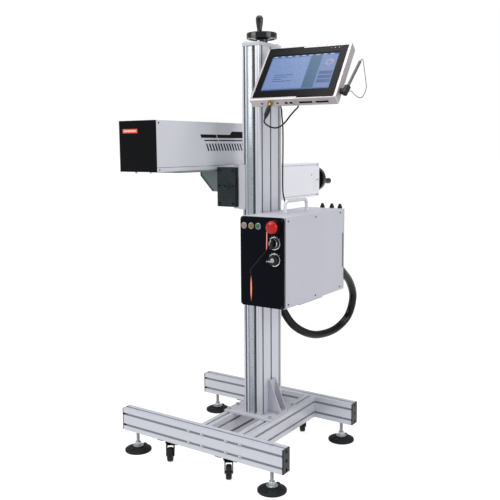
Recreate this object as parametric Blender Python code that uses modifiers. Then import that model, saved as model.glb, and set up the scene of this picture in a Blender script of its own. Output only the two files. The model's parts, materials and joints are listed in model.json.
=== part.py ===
"""A laser coding machine on a wheeled stand, built as separate pieces.

Two slotted rails on levelling feet and casters carry a column. A screw in the column lifts a carriage with
a cross arm, and a screw in the arm moves the marking head. A control box and a tilting display hang on
the column. Everything is first placed with X along the rails, Y towards the back and Z up, from the front
rail's left end on the floor. At the end stand_on_origin moves it all over the origin.
"""

import math

import bmesh
import bpy
from mathutils import Euler, Matrix, Vector

# Clearances
SEAT = 0.0003  # between pieces that rest on each other
RUNNING = 0.0004  # round a screw, pin or stud, on the radius
SLIDE = 0.0005  # between a slider and its guide

# Base frame
BASE_LENGTH = 0.680
BASE_DEPTH = 0.522
PROFILE_WIDTH = 0.040
PROFILE_HEIGHT = 0.080
RAIL_BOTTOM = 0.073
END_CAP_THICKNESS = 0.004
SLOT_OPENING = 0.008
SLOT_LIP = 0.003
SLOT_POCKET = 0.015
SLOT_FLOOR = 0.010
SLOT_DEPTH = 0.011
BEAM_CENTRE_X = 0.4265
BEAM_SPACING = 0.153
BASE_PLATE_THICKNESS = 0.008
BASE_PLATE_FRONT_Y = 0.172
BASE_PLATE_DEPTH = 0.183

# Levelling feet
FOOT_INSET = 0.054
FOOT_PAD_RADIUS = 0.0475
FOOT_PAD_RIM = 0.006
FOOT_PAD_HEIGHT = 0.017
FOOT_FLANGE_RADIUS = 0.019
FOOT_FLANGE_THICKNESS = 0.004
FOOT_NUT_RADIUS = 0.0105
FOOT_NUT_HEIGHT = 0.012
STUD_RADIUS = 0.006
STUD_TOP = 0.132
LUG_RADIUS = 0.008
LUG_HEIGHT = 0.015
LUG_OFFSET = 0.034

# Casters
CASTER_FIRST_X = 0.208
CASTER_PITCH = 0.250
CASTER_YAW = math.radians(34)
CASTER_TRAIL = 0.018
WHEEL_RADIUS = 0.025
WHEEL_WIDTH = 0.020
WHEEL_FLOOR_GAP = 0.003
AXLE_RADIUS = 0.004
CHEEK_GAP = 0.0012
CHEEK_THICKNESS = 0.003
RACE_RADIUS = 0.019
RACE_THICKNESS = 0.008

# Column
COLUMN_LEFT_X = 0.403
COLUMN_WIDTH = 0.068
COLUMN_FRONT_Y = 0.194
COLUMN_DEPTH = 0.135
COLUMN_TOP_Z = 1.408
TOP_PLATE_THICKNESS = 0.012
CHANNEL_WIDTH = 0.060
CHANNEL_DEPTH = 0.050
SCREW_RADIUS = 0.008
GUSSET_HEIGHT = 0.112
GUSSET_REACH = 0.050
GUSSET_WIDTH = 0.040
GUSSET_WALL = 0.006

# Handwheels
HANDWHEEL_RADIUS = 0.0505
HANDWHEEL_RIM = 0.019
HANDWHEEL_RIM_WIDTH = 0.019
HANDWHEEL_HUB_RADIUS = 0.020
HANDWHEEL_HUB_HEIGHT = 0.020
KNOB_RADIUS = 0.012
KNOB_LENGTH = 0.050
KNOB_ORBIT = 0.0405
KNOB_PIN_RADIUS = 0.004
TOP_KNOB_ANGLE = math.radians(-67)
ARM_KNOB_ANGLE = math.radians(-13)

# Lift carriage and cross arm
CARRIAGE_THICKNESS = 0.032
CARRIAGE_BOTTOM_Z = 0.874
CARRIAGE_HEIGHT = 0.150
CARRIAGE_DEPTH = 0.110
CARRIAGE_LIP_REACH = 0.019
CARRIAGE_CHEEK = 0.012
NUT_WIDTH = 0.040
NUT_LENGTH = 0.070
NUT_WALL = 0.0055
GIB_THICKNESS = 0.005
ARM_WIDTH = 0.076
ARM_HEIGHT = 0.135
ARM_BOTTOM_Z = 0.884
ARM_FRONT_Y = 0.194
ARM_LENGTH = 0.593
ARM_FRONT_PLATE = 0.018
ARM_REAR_PLATE = 0.012
ARM_CHANNEL_DEPTH = 0.054
FRONT_PLATE_DROP = 0.004

# Head slider, bracket and marking head
SLIDER_THICKNESS = 0.0075
SLIDER_FRONT_Y = 0.213
SLIDER_LENGTH = 0.179
BRACKET_WALL = 0.0055
BRACKET_DROP = 0.0715
SHELF_WIDTH = 0.136
SHELF_FRONT_Y = 0.013
SHELF_LENGTH = 0.387
HEAD_GUSSET_REACH = 0.069
HEAD_GUSSET_LIP = 0.016
HEAD_GUSSET_FOOT = 0.0175
HEAD_WIDTH = 0.150
HEAD_HEIGHT = 0.161
HEAD_LENGTH = 0.603
HEAD_FRONT_Y = -0.103
HEAD_BOTTOM_Z = 1.006
HEAD_GAP_TO_ARM = 0.017
HEAD_COVER_THICKNESS = 0.008
HEAD_WALL = 0.003
STATUS_WINDOW_WIDTH = 0.063
STATUS_WINDOW_HEIGHT = 0.013
STATUS_WINDOW_INSET = 0.015
STATUS_WINDOW_DROP = 0.026
LOCATING_PIN_RADIUS = 0.003
LOCATING_PIN_LENGTH = 0.005

# Control box
BOX_TO_COLUMN = 0.0045
BOX_WIDTH = 0.162
BOX_HEIGHT = 0.287
BOX_BOTTOM_Z = 0.578
BOX_FRONT_Y = 0.073
BOX_DEPTH = 0.410
BOX_WALL = 0.002
PANEL_THICKNESS = 0.006
PANEL_CORNER = 0.010
LAMP_RADIUS = 0.008
LAMP_FIRST_X = 0.0155
LAMP_PITCH = 0.0265
LAMP_DROP = 0.029
LAMP_STAND_OUT = 0.004
CONTROL_X = 0.1285
STOP_DROP = 0.029
STOP_HEAD_RADIUS = 0.020
STOP_STAND_OUT = 0.028
STOP_TRAVEL = 0.006
SELECTOR_DROP = 0.080
SELECTOR_RADIUS = 0.0175
SELECTOR_RISE = 0.010
SELECTOR_GRIP = (0.010, 0.031, 0.014)
KEY_DROP = 0.132
KEY_RADIUS = 0.0165
KEY_RISE = 0.014
KEY_BOW = (0.020, 0.003, 0.026)
BOX_HANDLE_FRONT = 0.141
BOX_HANDLE_LENGTH = 0.143
BOX_HANDLE_HEIGHT = 0.046
BOX_HANDLE_RADIUS = 0.006
BOX_BRACKET_THICKNESS = 0.0035
BOX_BRACKET_FRONT_Y = 0.173
BOX_BRACKET_DEPTH = 0.153
BOX_BRACKET_HEIGHT = 0.270

# Umbilical hose
HOSE_RADIUS = 0.015
GLAND_RADIUS = 0.021
GLAND_LENGTH = 0.030
HOSE_INLET_SIZE = (0.050, 0.046, 0.080)
HOSE_INLET_BOTTOM_Z = 0.600

# Display
DISPLAY_CORNER = (0.5058, 0.0814, 1.2252)
DISPLAY_SWIVEL = math.radians(5.3)
DISPLAY_TILT = math.radians(38.1)
DISPLAY_WIDTH = 0.288
DISPLAY_HEIGHT = 0.216
DISPLAY_DEPTH = 0.0335
DISPLAY_WALL = 0.0025
BEZEL_MARGIN = 0.009
BEZEL_THICKNESS = 0.003
SCREEN_MARGIN_X = 0.028
SCREEN_MARGIN_Z = 0.035
SCREEN_THICKNESS = 0.003
HINGE_STAND_OFF = 0.030
HINGE_HEIGHT = 0.100
HINGE_BARREL_RADIUS = 0.009
HINGE_BARREL_LENGTH = 0.044
HINGE_PIN_RADIUS = 0.004
HINGE_EAR_THICKNESS = 0.006
SWIVEL_POST_RADIUS = 0.009
SWIVEL_FLANGE_RADIUS = 0.016
SWIVEL_FLANGE_THICKNESS = 0.005
DISPLAY_ARM_WIDTH = 0.020
DISPLAY_ARM_HEIGHT = 0.026
DISPLAY_ARM_DROP = 0.018
DISPLAY_FOOT_WIDTH = 0.080
DISPLAY_FOOT_HEIGHT = 0.090
DISPLAY_FOOT_THICKNESS = 0.006
STYLUS_RADIUS = 0.0045
STYLUS_LENGTH = 0.123
STYLUS_LEAN = math.radians(8.8)
STYLUS_HOLDER_RADIUS = 0.0085
STYLUS_HOLDER_LENGTH = 0.026
STYLUS_OFFSET_X = 0.0155
STYLUS_BASE_Z = 0.026
PLUG_X = 0.0685
PLUG_RADIUS = 0.0075
PLUG_LENGTH = 0.060
CABLE_RADIUS = 0.0025
TETHER_RADIUS = 0.001

# Routes of the cords, as points chosen along their real way
HOSE_ROUTE = (
    (0.574, 0.560, 0.640),
    (0.572, 0.617, 0.607),
    (0.568, 0.677, 0.562),
    (0.560, 0.722, 0.497),
    (0.545, 0.712, 0.422),
    (0.525, 0.647, 0.380),
    (0.505, 0.556, 0.374),
    (0.488, 0.480, 0.394),
    (0.468, 0.416, 0.436),
    (0.450, 0.376, 0.496),
)
LOOP_ROUTE = (
    (PLUG_X, 0.017, -0.067),
    (0.0700, 0.018, -0.0735),
    (0.078, 0.019, -0.081),
    (0.092, 0.023, -0.088),
    (0.108, 0.028, -0.0885),
    (0.120, 0.033, -0.079),
    (0.128, 0.040, -0.055),
    (0.132, 0.047, -0.026),
    (0.137, 0.054, 0.000),
    (0.142, 0.057, 0.016),
    (0.146, 0.046, 0.026),
)
DOWN_ROUTE = (
    (0.500, 0.228, 1.230),
    (0.496, 0.250, 1.232),
    (0.487, 0.290, 1.226),
    (0.481, 0.314, 1.209),
    (0.479, 0.321, 1.186),
    (0.480, 0.325, 1.150),
    (0.480, 0.326, 1.080),
    (0.479, 0.326, 1.000),
    (0.479, 0.327, 0.930),
    (0.483, 0.331, 0.900),
    (0.486, 0.334, 0.882),
)
TETHER_ROUTE = (
    (0.3260, 0.017, 0.1600),
    (0.3310, 0.017, 0.1540),
    (0.3420, 0.018, 0.1220),
    (0.3560, 0.019, 0.0790),
    (0.3655, 0.020, 0.0460),
    (0.3640, 0.020, 0.0200),
    (0.3555, 0.020, 0.0095),
    (0.3390, 0.018, 0.0185),
    (0.3230, 0.017, 0.0345),
)

Z_AXIS = Vector((0.0, 0.0, 1.0))


def clear_scene():
    for obj in list(bpy.data.objects):
        bpy.data.objects.remove(obj, do_unlink=True)


clear_scene()
PARTS = bpy.data.collections.new("laser_coder")
CUTTERS = bpy.data.collections.new("cutters")
bpy.context.scene.collection.children.link(PARTS)
bpy.context.scene.collection.children.link(CUTTERS)


# ---------------------------------------------------------------- materials


def finish(name, colour, roughness, metallic=0.0):
    made = bpy.data.materials.new(name)
    made.use_nodes = True
    shader = made.node_tree.nodes["Principled BSDF"]
    shader.inputs["Base Color"].default_value = (*colour, 1.0)
    shader.inputs["Roughness"].default_value = roughness
    shader.inputs["Metallic"].default_value = metallic
    made.diffuse_color = (*colour, 1.0)
    return made


ALUMINIUM = finish("anodised_aluminium", (0.64, 0.65, 0.69), 0.38, 0.6)
STEEL = finish("zinc_plated_steel", (0.60, 0.61, 0.60), 0.30, 0.9)
DARK_CAST = finish("dark_cast_plate", (0.035, 0.048, 0.048), 0.55, 0.3)
GREY_BRACKET = finish("grey_bracket", (0.26, 0.30, 0.30), 0.50, 0.4)
SILVER_PAINT = finish("silver_paint", (0.58, 0.58, 0.62), 0.42)
BLACK_PAINT = finish("black_paint", (0.012, 0.014, 0.016), 0.45)
BLACK_PLASTIC = finish("black_plastic", (0.012, 0.013, 0.014), 0.35)
BLACK_RUBBER = finish("black_rubber", (0.013, 0.015, 0.015), 0.70)
RED_PLASTIC = finish("red_plastic", (0.65, 0.02, 0.02), 0.30)
LAMP_PLASTIC = finish("lamp_plastic", (0.75, 0.60, 0.35), 0.25)
LIT_WINDOW = finish("lit_window", (0.85, 0.20, 0.18), 0.20)
SCREEN_GLASS = finish("screen_glass", (0.16, 0.25, 0.52), 0.12)
BRUSHED_CASE = finish("brushed_case", (0.66, 0.63, 0.64), 0.33, 0.7)


# ---------------------------------------------------------------- shape tools


def publish(name, mesh, material, location=(0.0, 0.0, 0.0), collection=PARTS):
    mesh.materials.clear()
    mesh.materials.append(material)
    obj = bpy.data.objects.new(name, mesh)
    obj.location = location
    collection.objects.link(obj)
    return obj


def mesh_from(bm, name):
    bmesh.ops.recalc_face_normals(bm, faces=bm.faces)
    mesh = bpy.data.meshes.new(name)
    bm.to_mesh(mesh)
    bm.free()
    return mesh


def smooth(obj, degrees=35):
    obj.data.shade_smooth()
    obj.data.set_sharp_from_angle(angle=math.radians(degrees))
    return obj


def bevel(obj, width, segments=2):
    modifier = obj.modifiers.new("edge_bevel", "BEVEL")
    modifier.width = width
    modifier.segments = segments
    modifier.limit_method = "ANGLE"
    return obj


def box(name, low, high, material, edge=0.0):
    """A block between two corners, with its origin at its centre."""
    low, high = Vector(low), Vector(high)
    bm = bmesh.new()
    bmesh.ops.create_cube(bm, size=1.0)
    bmesh.ops.scale(bm, vec=high - low, verts=bm.verts)
    obj = publish(name, mesh_from(bm, name), material, (low + high) / 2)
    return bevel(obj, edge) if edge else obj


def towards(direction):
    """The rotation that turns +Z to this direction."""
    return Z_AXIS.rotation_difference(Vector(direction).normalized()).to_matrix().to_4x4()


def rod(name, radius, start, end, material, sides=24):
    start, end = Vector(start), Vector(end)
    bm = bmesh.new()
    bmesh.ops.create_cone(
        bm,
        cap_ends=True,
        segments=sides,
        radius1=radius,
        radius2=radius,
        depth=(end - start).length,
        matrix=towards(end - start),
    )
    return smooth(publish(name, mesh_from(bm, name), material, (start + end) / 2))


def turned(name, profile, base, direction, material, steps=32):
    """A round piece from a list of (radius, height), which runs from its top down its outer side."""
    mesh = bpy.data.meshes.new(name)
    points = [(radius, 0.0, height) for radius, height in profile]
    mesh.from_pydata(points, [(i, i + 1) for i in range(len(points) - 1)], [])
    obj = publish(name, mesh, material, base)
    obj.rotation_euler = towards(direction).to_euler()
    screw = obj.modifiers.new("turn", "SCREW")
    screw.axis = "Z"
    screw.steps = steps
    screw.render_steps = steps
    screw.use_merge_vertices = True
    screw.merge_threshold = 0.00001
    screw.use_smooth_shade = True
    return obj


def flat(name, outline, thickness, frame, material):
    """A closed outline in its own XY plane, thickened evenly on both sides of it."""
    curve = bpy.data.curves.new(name, "CURVE")
    curve.dimensions = "2D"
    curve.fill_mode = "BOTH"
    curve.extrude = thickness / 2
    spline = curve.splines.new("POLY")
    spline.points.add(len(outline) - 1)
    for point, (x, y) in zip(spline.points, outline):
        point.co = (x, y, 0.0, 1.0)
    spline.use_cyclic_u = True
    obj = publish(name, curve, material)
    obj.matrix_world = frame
    return smooth(as_mesh(obj))


def as_mesh(obj):
    """The same object with its evaluated shape as a welded mesh, so that it can be cut and joined."""
    bpy.context.view_layer.update()
    evaluated = obj.evaluated_get(bpy.context.evaluated_depsgraph_get())
    mesh = bpy.data.meshes.new_from_object(evaluated)
    bm = bmesh.new()
    bm.from_mesh(mesh)
    bmesh.ops.remove_doubles(bm, verts=bm.verts, dist=0.000001)
    bmesh.ops.dissolve_limit(bm, angle_limit=0.0005, verts=bm.verts, edges=bm.edges)
    bmesh.ops.recalc_face_normals(bm, faces=bm.faces)
    bm.to_mesh(mesh)
    bm.free()
    name, material, matrix = obj.name, obj.active_material, obj.matrix_world.copy()
    for helper in list(obj.children):
        bpy.data.objects.remove(helper, do_unlink=True)
    bpy.data.objects.remove(obj, do_unlink=True)
    made = publish(name, mesh, material)
    made.matrix_world = matrix
    return made


def combine(obj, others, operation):
    """Cuts the others from the object, or joins them to it. They become hidden helpers."""
    for number, other in enumerate(others):
        for collection in list(other.users_collection):
            collection.objects.unlink(other)
        CUTTERS.objects.link(other)
        other.hide_render = True
        other.display_type = "WIRE"
        other.parent = obj
        other.matrix_parent_inverse = obj.matrix_basis.inverted()
        other.name = f"{obj.name}_{operation.lower()}_{number}"
        modifier = obj.modifiers.new(other.name, "BOOLEAN")
        modifier.operation = operation
        modifier.object = other
        modifier.solver = "EXACT"
    return obj


def cut(obj, *others):
    return combine(obj, others, "DIFFERENCE")


def join(obj, *others):
    return combine(obj, others, "UNION")


def tube(name, points, radius, material, resolution=2, sections=3):
    """A cord or pipe along a smooth curve through its points."""
    curve = bpy.data.curves.new(name, "CURVE")
    curve.dimensions = "3D"
    curve.bevel_depth = radius
    curve.bevel_resolution = resolution
    curve.use_fill_caps = True
    way = smooth_way([Vector(point) for point in points], sections)
    spline = curve.splines.new("POLY")
    spline.points.add(len(way) - 1)
    for point, place in zip(spline.points, way):
        point.co = (*place, 1.0)
    return publish(name, curve, material)


def smooth_way(points, sections):
    """Points on the Catmull-Rom curve through the given ones, with a straight piece at each end."""
    way = [points[0]]
    for a, b, c, d in zip(points, points[1:], points[2:], points[3:]):
        for step in range(sections):
            t = step / sections
            curve = (2 * a - 5 * b + 4 * c - d) * t**2 + (3 * b - a - 3 * c + d) * t**3
            way.append(0.5 * (2 * b + (c - a) * t + curve))
    return way + points[-2:]


def groove(centre, width, depth):
    half = width / 2
    return [(centre - half, 0.0), (centre - half, depth), (centre + half, depth), (centre + half, 0.0)]


def t_slot(centre):
    mouth, pocket, floor = SLOT_OPENING / 2, SLOT_POCKET / 2, SLOT_FLOOR / 2
    left = [
        (centre - mouth, 0.0),
        (centre - mouth, SLOT_LIP),
        (centre - pocket, SLOT_LIP),
        (centre - floor, SLOT_DEPTH),
    ]
    right = [(2 * centre - along, inward) for along, inward in reversed(left)]
    return left + right


def slotted_section(size_x, size_y, low_y=(), high_x=(), high_y=(), low_x=()):
    """The outline of an extruded profile: a rectangle with the given slots let into its four sides."""
    points = [(0.0, 0.0)]
    points += [(along, inward) for slot in low_y for along, inward in slot]
    points += [(size_x, 0.0)]
    points += [(size_x - inward, along) for slot in high_x for along, inward in slot]
    points += [(size_x, size_y)]
    points += [(along, size_y - inward) for slot in reversed(high_y) for along, inward in reversed(slot)]
    points += [(0.0, size_y)]
    points += [(inward, along) for slot in reversed(low_x) for along, inward in reversed(slot)]
    return points


# An extrusion's section lies in these two directions, and its length along the third.
SECTION_AXES = {
    "X": (Vector((0, 1, 0)), Vector((0, 0, 1)), Vector((1, 0, 0))),
    "Y": (Vector((0, 0, 1)), Vector((1, 0, 0)), Vector((0, 1, 0))),
    "Z": (Vector((1, 0, 0)), Vector((0, 1, 0)), Vector((0, 0, 1))),
}


def extrusion(name, section, corner, length, axis, material):
    """A bar with this section, from its lowest corner, along X, Y or Z."""
    across, up, along = SECTION_AXES[axis]
    frame = Matrix((across, up, along)).transposed().to_4x4()
    frame.translation = Vector(corner) + along * length / 2
    return flat(name, section, length, frame, material)


def body(name, place, parent=None):
    """An empty on a joint's axis. The pieces that move with the joint hang on it."""
    empty = bpy.data.objects.new(name, None)
    empty.empty_display_size = 0.05
    PARTS.objects.link(empty)
    empty.location = Vector(place) - (world_place(parent) if parent else Vector())
    empty.parent = parent
    return empty


def world_place(obj):
    return obj.location + world_place(obj.parent) if obj and obj.parent else obj.location.copy()


def hang(parent, *children):
    """Parents pieces to an empty that isn't turned, and leaves them where they are."""
    for child in children:
        child.location = child.location - world_place(parent)
        child.parent = parent


# ---------------------------------------------------------------- sizes worked out from the others

RAIL_TOP = RAIL_BOTTOM + PROFILE_HEIGHT
RAIL_SPACING = BASE_DEPTH - PROFILE_WIDTH
RAIL_FRONTS = {"front": 0.0, "rear": RAIL_SPACING}
BASE_PLATE_BOTTOM = RAIL_TOP + SEAT
COLUMN_BOTTOM = BASE_PLATE_BOTTOM + BASE_PLATE_THICKNESS + SEAT
COLUMN_RIGHT_X = COLUMN_LEFT_X + COLUMN_WIDTH
COLUMN_BACK_Y = COLUMN_FRONT_Y + COLUMN_DEPTH
LIFT_X = COLUMN_LEFT_X + COLUMN_WIDTH / 2
LIFT_Y = COLUMN_FRONT_Y + COLUMN_DEPTH / 2
CARRIAGE_RIGHT_X = COLUMN_LEFT_X - SLIDE
CARRIAGE_LEFT_X = CARRIAGE_RIGHT_X - CARRIAGE_THICKNESS + 2 * SLIDE
CARRIAGE_FRONT_Y = ARM_FRONT_Y + ARM_FRONT_PLATE + SEAT
CARRIAGE_BACK_Y = CARRIAGE_FRONT_Y + CARRIAGE_DEPTH
ARM_RIGHT_X = CARRIAGE_LEFT_X - SEAT
ARM_LEFT_X = ARM_RIGHT_X - ARM_WIDTH
ARM_TOP_Z = ARM_BOTTOM_Z + ARM_HEIGHT
ARM_BACK_Y = ARM_FRONT_Y + ARM_LENGTH
ARM_SCREW_X = ARM_LEFT_X + ARM_WIDTH / 2
ARM_SCREW_Z = ARM_BOTTOM_Z + ARM_HEIGHT / 2
SLIDER_RIGHT_X = ARM_LEFT_X - SLIDE
SLIDER_LEFT_X = SLIDER_RIGHT_X - SLIDER_THICKNESS
BRACKET_RIGHT_X = SLIDER_LEFT_X - SEAT
SHELF_TOP_Z = HEAD_BOTTOM_Z - SEAT
SHELF_BOTTOM_Z = SHELF_TOP_Z - BRACKET_WALL
HEAD_RIGHT_X = ARM_LEFT_X - HEAD_GAP_TO_ARM
HEAD_LEFT_X = HEAD_RIGHT_X - HEAD_WIDTH
BOX_TOP_Z = BOX_BOTTOM_Z + BOX_HEIGHT
BOX_LEFT_X = COLUMN_RIGHT_X + BOX_TO_COLUMN
BOX_RIGHT_X = BOX_LEFT_X + BOX_WIDTH
BOX_BACK_Y = BOX_FRONT_Y + BOX_DEPTH


# ---------------------------------------------------------------- base frame


def rail_section():
    quarter = PROFILE_HEIGHT / 4
    side = [t_slot(quarter), t_slot(3 * quarter)]
    middle = [t_slot(PROFILE_WIDTH / 2)]
    return slotted_section(PROFILE_WIDTH, PROFILE_HEIGHT, middle, side, middle, side)


def beam_section():
    quarter = PROFILE_HEIGHT / 4
    side = [t_slot(quarter), t_slot(3 * quarter)]
    middle = [t_slot(PROFILE_WIDTH / 2)]
    return slotted_section(PROFILE_HEIGHT, PROFILE_WIDTH, side, middle, side, middle)


def foot_places():
    for row, front in RAIL_FRONTS.items():
        for side, x in (("left", FOOT_INSET), ("right", BASE_LENGTH - FOOT_INSET)):
            yield f"{row}_{side}", x, front + PROFILE_WIDTH / 2


def make_rails(stand):
    inset = END_CAP_THICKNESS + SEAT
    for row, front in RAIL_FRONTS.items():
        corner = (inset, front, RAIL_BOTTOM)
        rail = extrusion(f"rail_{row}", rail_section(), corner, BASE_LENGTH - 2 * inset, "X", ALUMINIUM)
        for place, x, y in foot_places():
            if place.startswith(row):
                bottom, top = (x, y, RAIL_BOTTOM - 0.01), (x, y, RAIL_TOP + 0.01)
                cut(rail, rod("stud_hole", STUD_RADIUS + RUNNING, bottom, top, ALUMINIUM))
        hang(stand, rail)
        for side, x in (("left", 0.0), ("right", BASE_LENGTH - END_CAP_THICKNESS)):
            high = (x + END_CAP_THICKNESS, front + PROFILE_WIDTH, RAIL_TOP)
            hang(stand, box(f"rail_cap_{row}_{side}", (x, front, RAIL_BOTTOM), high, BLACK_PLASTIC, 0.001))


def make_beams(stand):
    start = PROFILE_WIDTH + SEAT
    length = RAIL_SPACING - PROFILE_WIDTH - 2 * SEAT
    for side, sign in (("left", -1), ("right", 1)):
        x = BEAM_CENTRE_X + sign * BEAM_SPACING / 2 - PROFILE_WIDTH / 2
        corner = (x, start, RAIL_BOTTOM)
        hang(stand, extrusion(f"cross_beam_{side}", beam_section(), corner, length, "Y", ALUMINIUM))
    half = (BEAM_SPACING + PROFILE_WIDTH) / 2
    top = BASE_PLATE_BOTTOM + BASE_PLATE_THICKNESS
    low = (BEAM_CENTRE_X - half, BASE_PLATE_FRONT_Y, BASE_PLATE_BOTTOM)
    high = (BEAM_CENTRE_X + half, BASE_PLATE_FRONT_Y + BASE_PLATE_DEPTH, top)
    hang(stand, box("base_plate", low, high, ALUMINIUM, 0.001))


def make_foot(name, x, y, stand):
    foot = body(f"levelling_foot_{name}", (x, y, 0.0), stand)
    flange_bottom = FOOT_PAD_HEIGHT
    nut_bottom = flange_bottom + FOOT_FLANGE_THICKNESS
    profile = [
        (0.0, STUD_TOP),
        (STUD_RADIUS, STUD_TOP),
        (STUD_RADIUS, nut_bottom),
        (FOOT_FLANGE_RADIUS, nut_bottom),
        (FOOT_FLANGE_RADIUS, flange_bottom),
        (FOOT_FLANGE_RADIUS + 0.003, flange_bottom),
        (FOOT_PAD_RADIUS, FOOT_PAD_RIM),
        (FOOT_PAD_RADIUS, 0.0),
        (0.0, 0.0),
    ]
    piece = turned(f"foot_{name}", profile, (x, y, 0.0), Z_AXIS, BLACK_RUBBER, 24)
    low, high = (x, y, nut_bottom - 0.001), (x, y, nut_bottom + FOOT_NUT_HEIGHT)
    nut = rod("nut", FOOT_NUT_RADIUS, low, high, STEEL, 6)
    lugs = []
    for lug_y in (y - LUG_OFFSET, y + LUG_OFFSET):
        lugs.append(rod("lug", LUG_RADIUS, (x, lug_y, 0.002), (x, lug_y, LUG_HEIGHT), BLACK_RUBBER, 12))
    join(piece, nut, *lugs)
    hang(foot, piece)


def caster_fork_mesh():
    """The swivelling fork, from its axis on the rail's underside, with its wheel trailing towards -Y."""
    drop = RAIL_BOTTOM - WHEEL_FLOOR_GAP - WHEEL_RADIUS
    inner = WHEEL_WIDTH / 2 + CHEEK_GAP
    outer = inner + CHEEK_THICKNESS
    crown_top, crown_bottom = -SEAT - RACE_THICKNESS + 0.001, -SEAT - RACE_THICKNESS - 0.003
    race = rod("fork", RACE_RADIUS, (0, 0, crown_bottom + 0.001), (0, 0, -SEAT), BLACK_PAINT)
    crown_low, crown_high = (-outer, -CASTER_TRAIL - 0.004, crown_bottom), (outer, 0.016, crown_top)
    crown = box("crown", crown_low, crown_high, BLACK_PAINT)
    cheek_outline = [
        (0.0158, crown_top - 0.0005),
        (-CASTER_TRAIL - 0.0038, crown_top - 0.0005),
        (-CASTER_TRAIL - 0.007, -drop + 0.002),
        (-CASTER_TRAIL - 0.004, -drop - 0.006),
        (-CASTER_TRAIL + 0.004, -drop - 0.006),
        (-CASTER_TRAIL + 0.008, -drop + 0.004),
    ]
    cheeks = []
    for side in (-1, 1):
        frame = Matrix((Vector((0, 1, 0)), Z_AXIS, Vector((1, 0, 0)))).transposed().to_4x4()
        frame.translation = (side * (inner + CHEEK_THICKNESS / 2), 0, 0)
        cheeks.append(flat("cheek", cheek_outline, CHEEK_THICKNESS, frame, BLACK_PAINT))
    end = outer - 0.0005
    axle = rod("axle", AXLE_RADIUS, (-end, -CASTER_TRAIL, -drop), (end, -CASTER_TRAIL, -drop), STEEL, 16)
    baked = as_mesh(join(race, crown, *cheeks, axle))
    mesh, lift = baked.data, baked.location.copy()
    mesh.transform(Matrix.Translation(lift))
    bpy.data.objects.remove(baked, do_unlink=True)
    return mesh


def caster_wheel_mesh():
    """A wheel with a rounded tread, turned about its own X axis."""
    half = WHEEL_WIDTH / 2
    bore = AXLE_RADIUS + RUNNING
    profile = [
        (bore, half),
        (WHEEL_RADIUS * 0.45, half),
        (WHEEL_RADIUS * 0.50, half - 0.0015),
        (WHEEL_RADIUS * 0.80, half - 0.0015),
        (WHEEL_RADIUS - 0.003, half - 0.0005),
        (WHEEL_RADIUS, half - 0.004),
        (WHEEL_RADIUS, -half + 0.004),
        (WHEEL_RADIUS - 0.003, -half + 0.0005),
        (WHEEL_RADIUS * 0.80, -half + 0.0015),
        (WHEEL_RADIUS * 0.50, -half + 0.0015),
        (WHEEL_RADIUS * 0.45, -half),
        (bore, -half),
        (bore, half),
    ]
    baked = as_mesh(turned("wheel", profile, (0, 0, 0), (1, 0, 0), BLACK_RUBBER, 28))
    mesh = baked.data
    mesh.transform(baked.matrix_world)
    bpy.data.objects.remove(baked, do_unlink=True)
    return mesh


def make_casters(stand):
    fork_mesh, wheel_mesh = caster_fork_mesh(), caster_wheel_mesh()
    for row, front in RAIL_FRONTS.items():
        for side, x in (("left", CASTER_FIRST_X), ("right", CASTER_FIRST_X + CASTER_PITCH)):
            y = front + PROFILE_WIDTH / 2
            swivel = body(f"caster_swivel_{row}_{side}", (x, y, RAIL_BOTTOM), stand)
            swivel.rotation_euler = (0, 0, CASTER_YAW)
            fork = publish(f"caster_fork_{row}_{side}", fork_mesh, BLACK_PAINT)
            fork.parent = swivel
            wheel = publish(f"caster_wheel_{row}_{side}", wheel_mesh, BLACK_RUBBER)
            wheel.location = (0, -CASTER_TRAIL, -(RAIL_BOTTOM - WHEEL_FLOOR_GAP - WHEEL_RADIUS))
            wheel.parent = swivel


# ---------------------------------------------------------------- column and lift


def column_section():
    """Slots on the right, back and front, and an open channel on the left for the screw and its nut."""
    middle = COLUMN_DEPTH / 2
    front = [
        groove(0.0090, 0.0070, 0.0120),
        groove(0.0285, 0.0210, 0.0040),
        groove(0.0455, 0.0110, 0.0090),
        groove(0.0600, 0.0015, 0.0015),
    ]
    right = [t_slot(middle - 0.052), t_slot(middle), t_slot(middle + 0.053)]
    back = [t_slot(0.015), t_slot(0.043)]
    left = [groove(middle, CHANNEL_WIDTH, CHANNEL_DEPTH)]
    return slotted_section(COLUMN_WIDTH, COLUMN_DEPTH, low_y=front, high_x=right, high_y=back, low_x=left)


def make_column(stand):
    corner = (COLUMN_LEFT_X, COLUMN_FRONT_Y, COLUMN_BOTTOM)
    length = COLUMN_TOP_Z - COLUMN_BOTTOM
    column = extrusion("column_profile", column_section(), corner, length, "Z", ALUMINIUM)
    low = (COLUMN_LEFT_X, COLUMN_FRONT_Y, COLUMN_TOP_Z + SEAT)
    high = (COLUMN_RIGHT_X, COLUMN_BACK_Y, COLUMN_TOP_Z + SEAT + TOP_PLATE_THICKNESS)
    plate = box("column_top_plate", low, high, ALUMINIUM, 0.0015)
    hole_bottom, hole_top = (LIFT_X, LIFT_Y, low[2] - 0.01), (LIFT_X, LIFT_Y, high[2] + 0.01)
    cut(plate, rod("screw_hole", SCREW_RADIUS + RUNNING, hole_bottom, hole_top, STEEL))
    hang(stand, column, plate, make_base_gusset())


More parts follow.
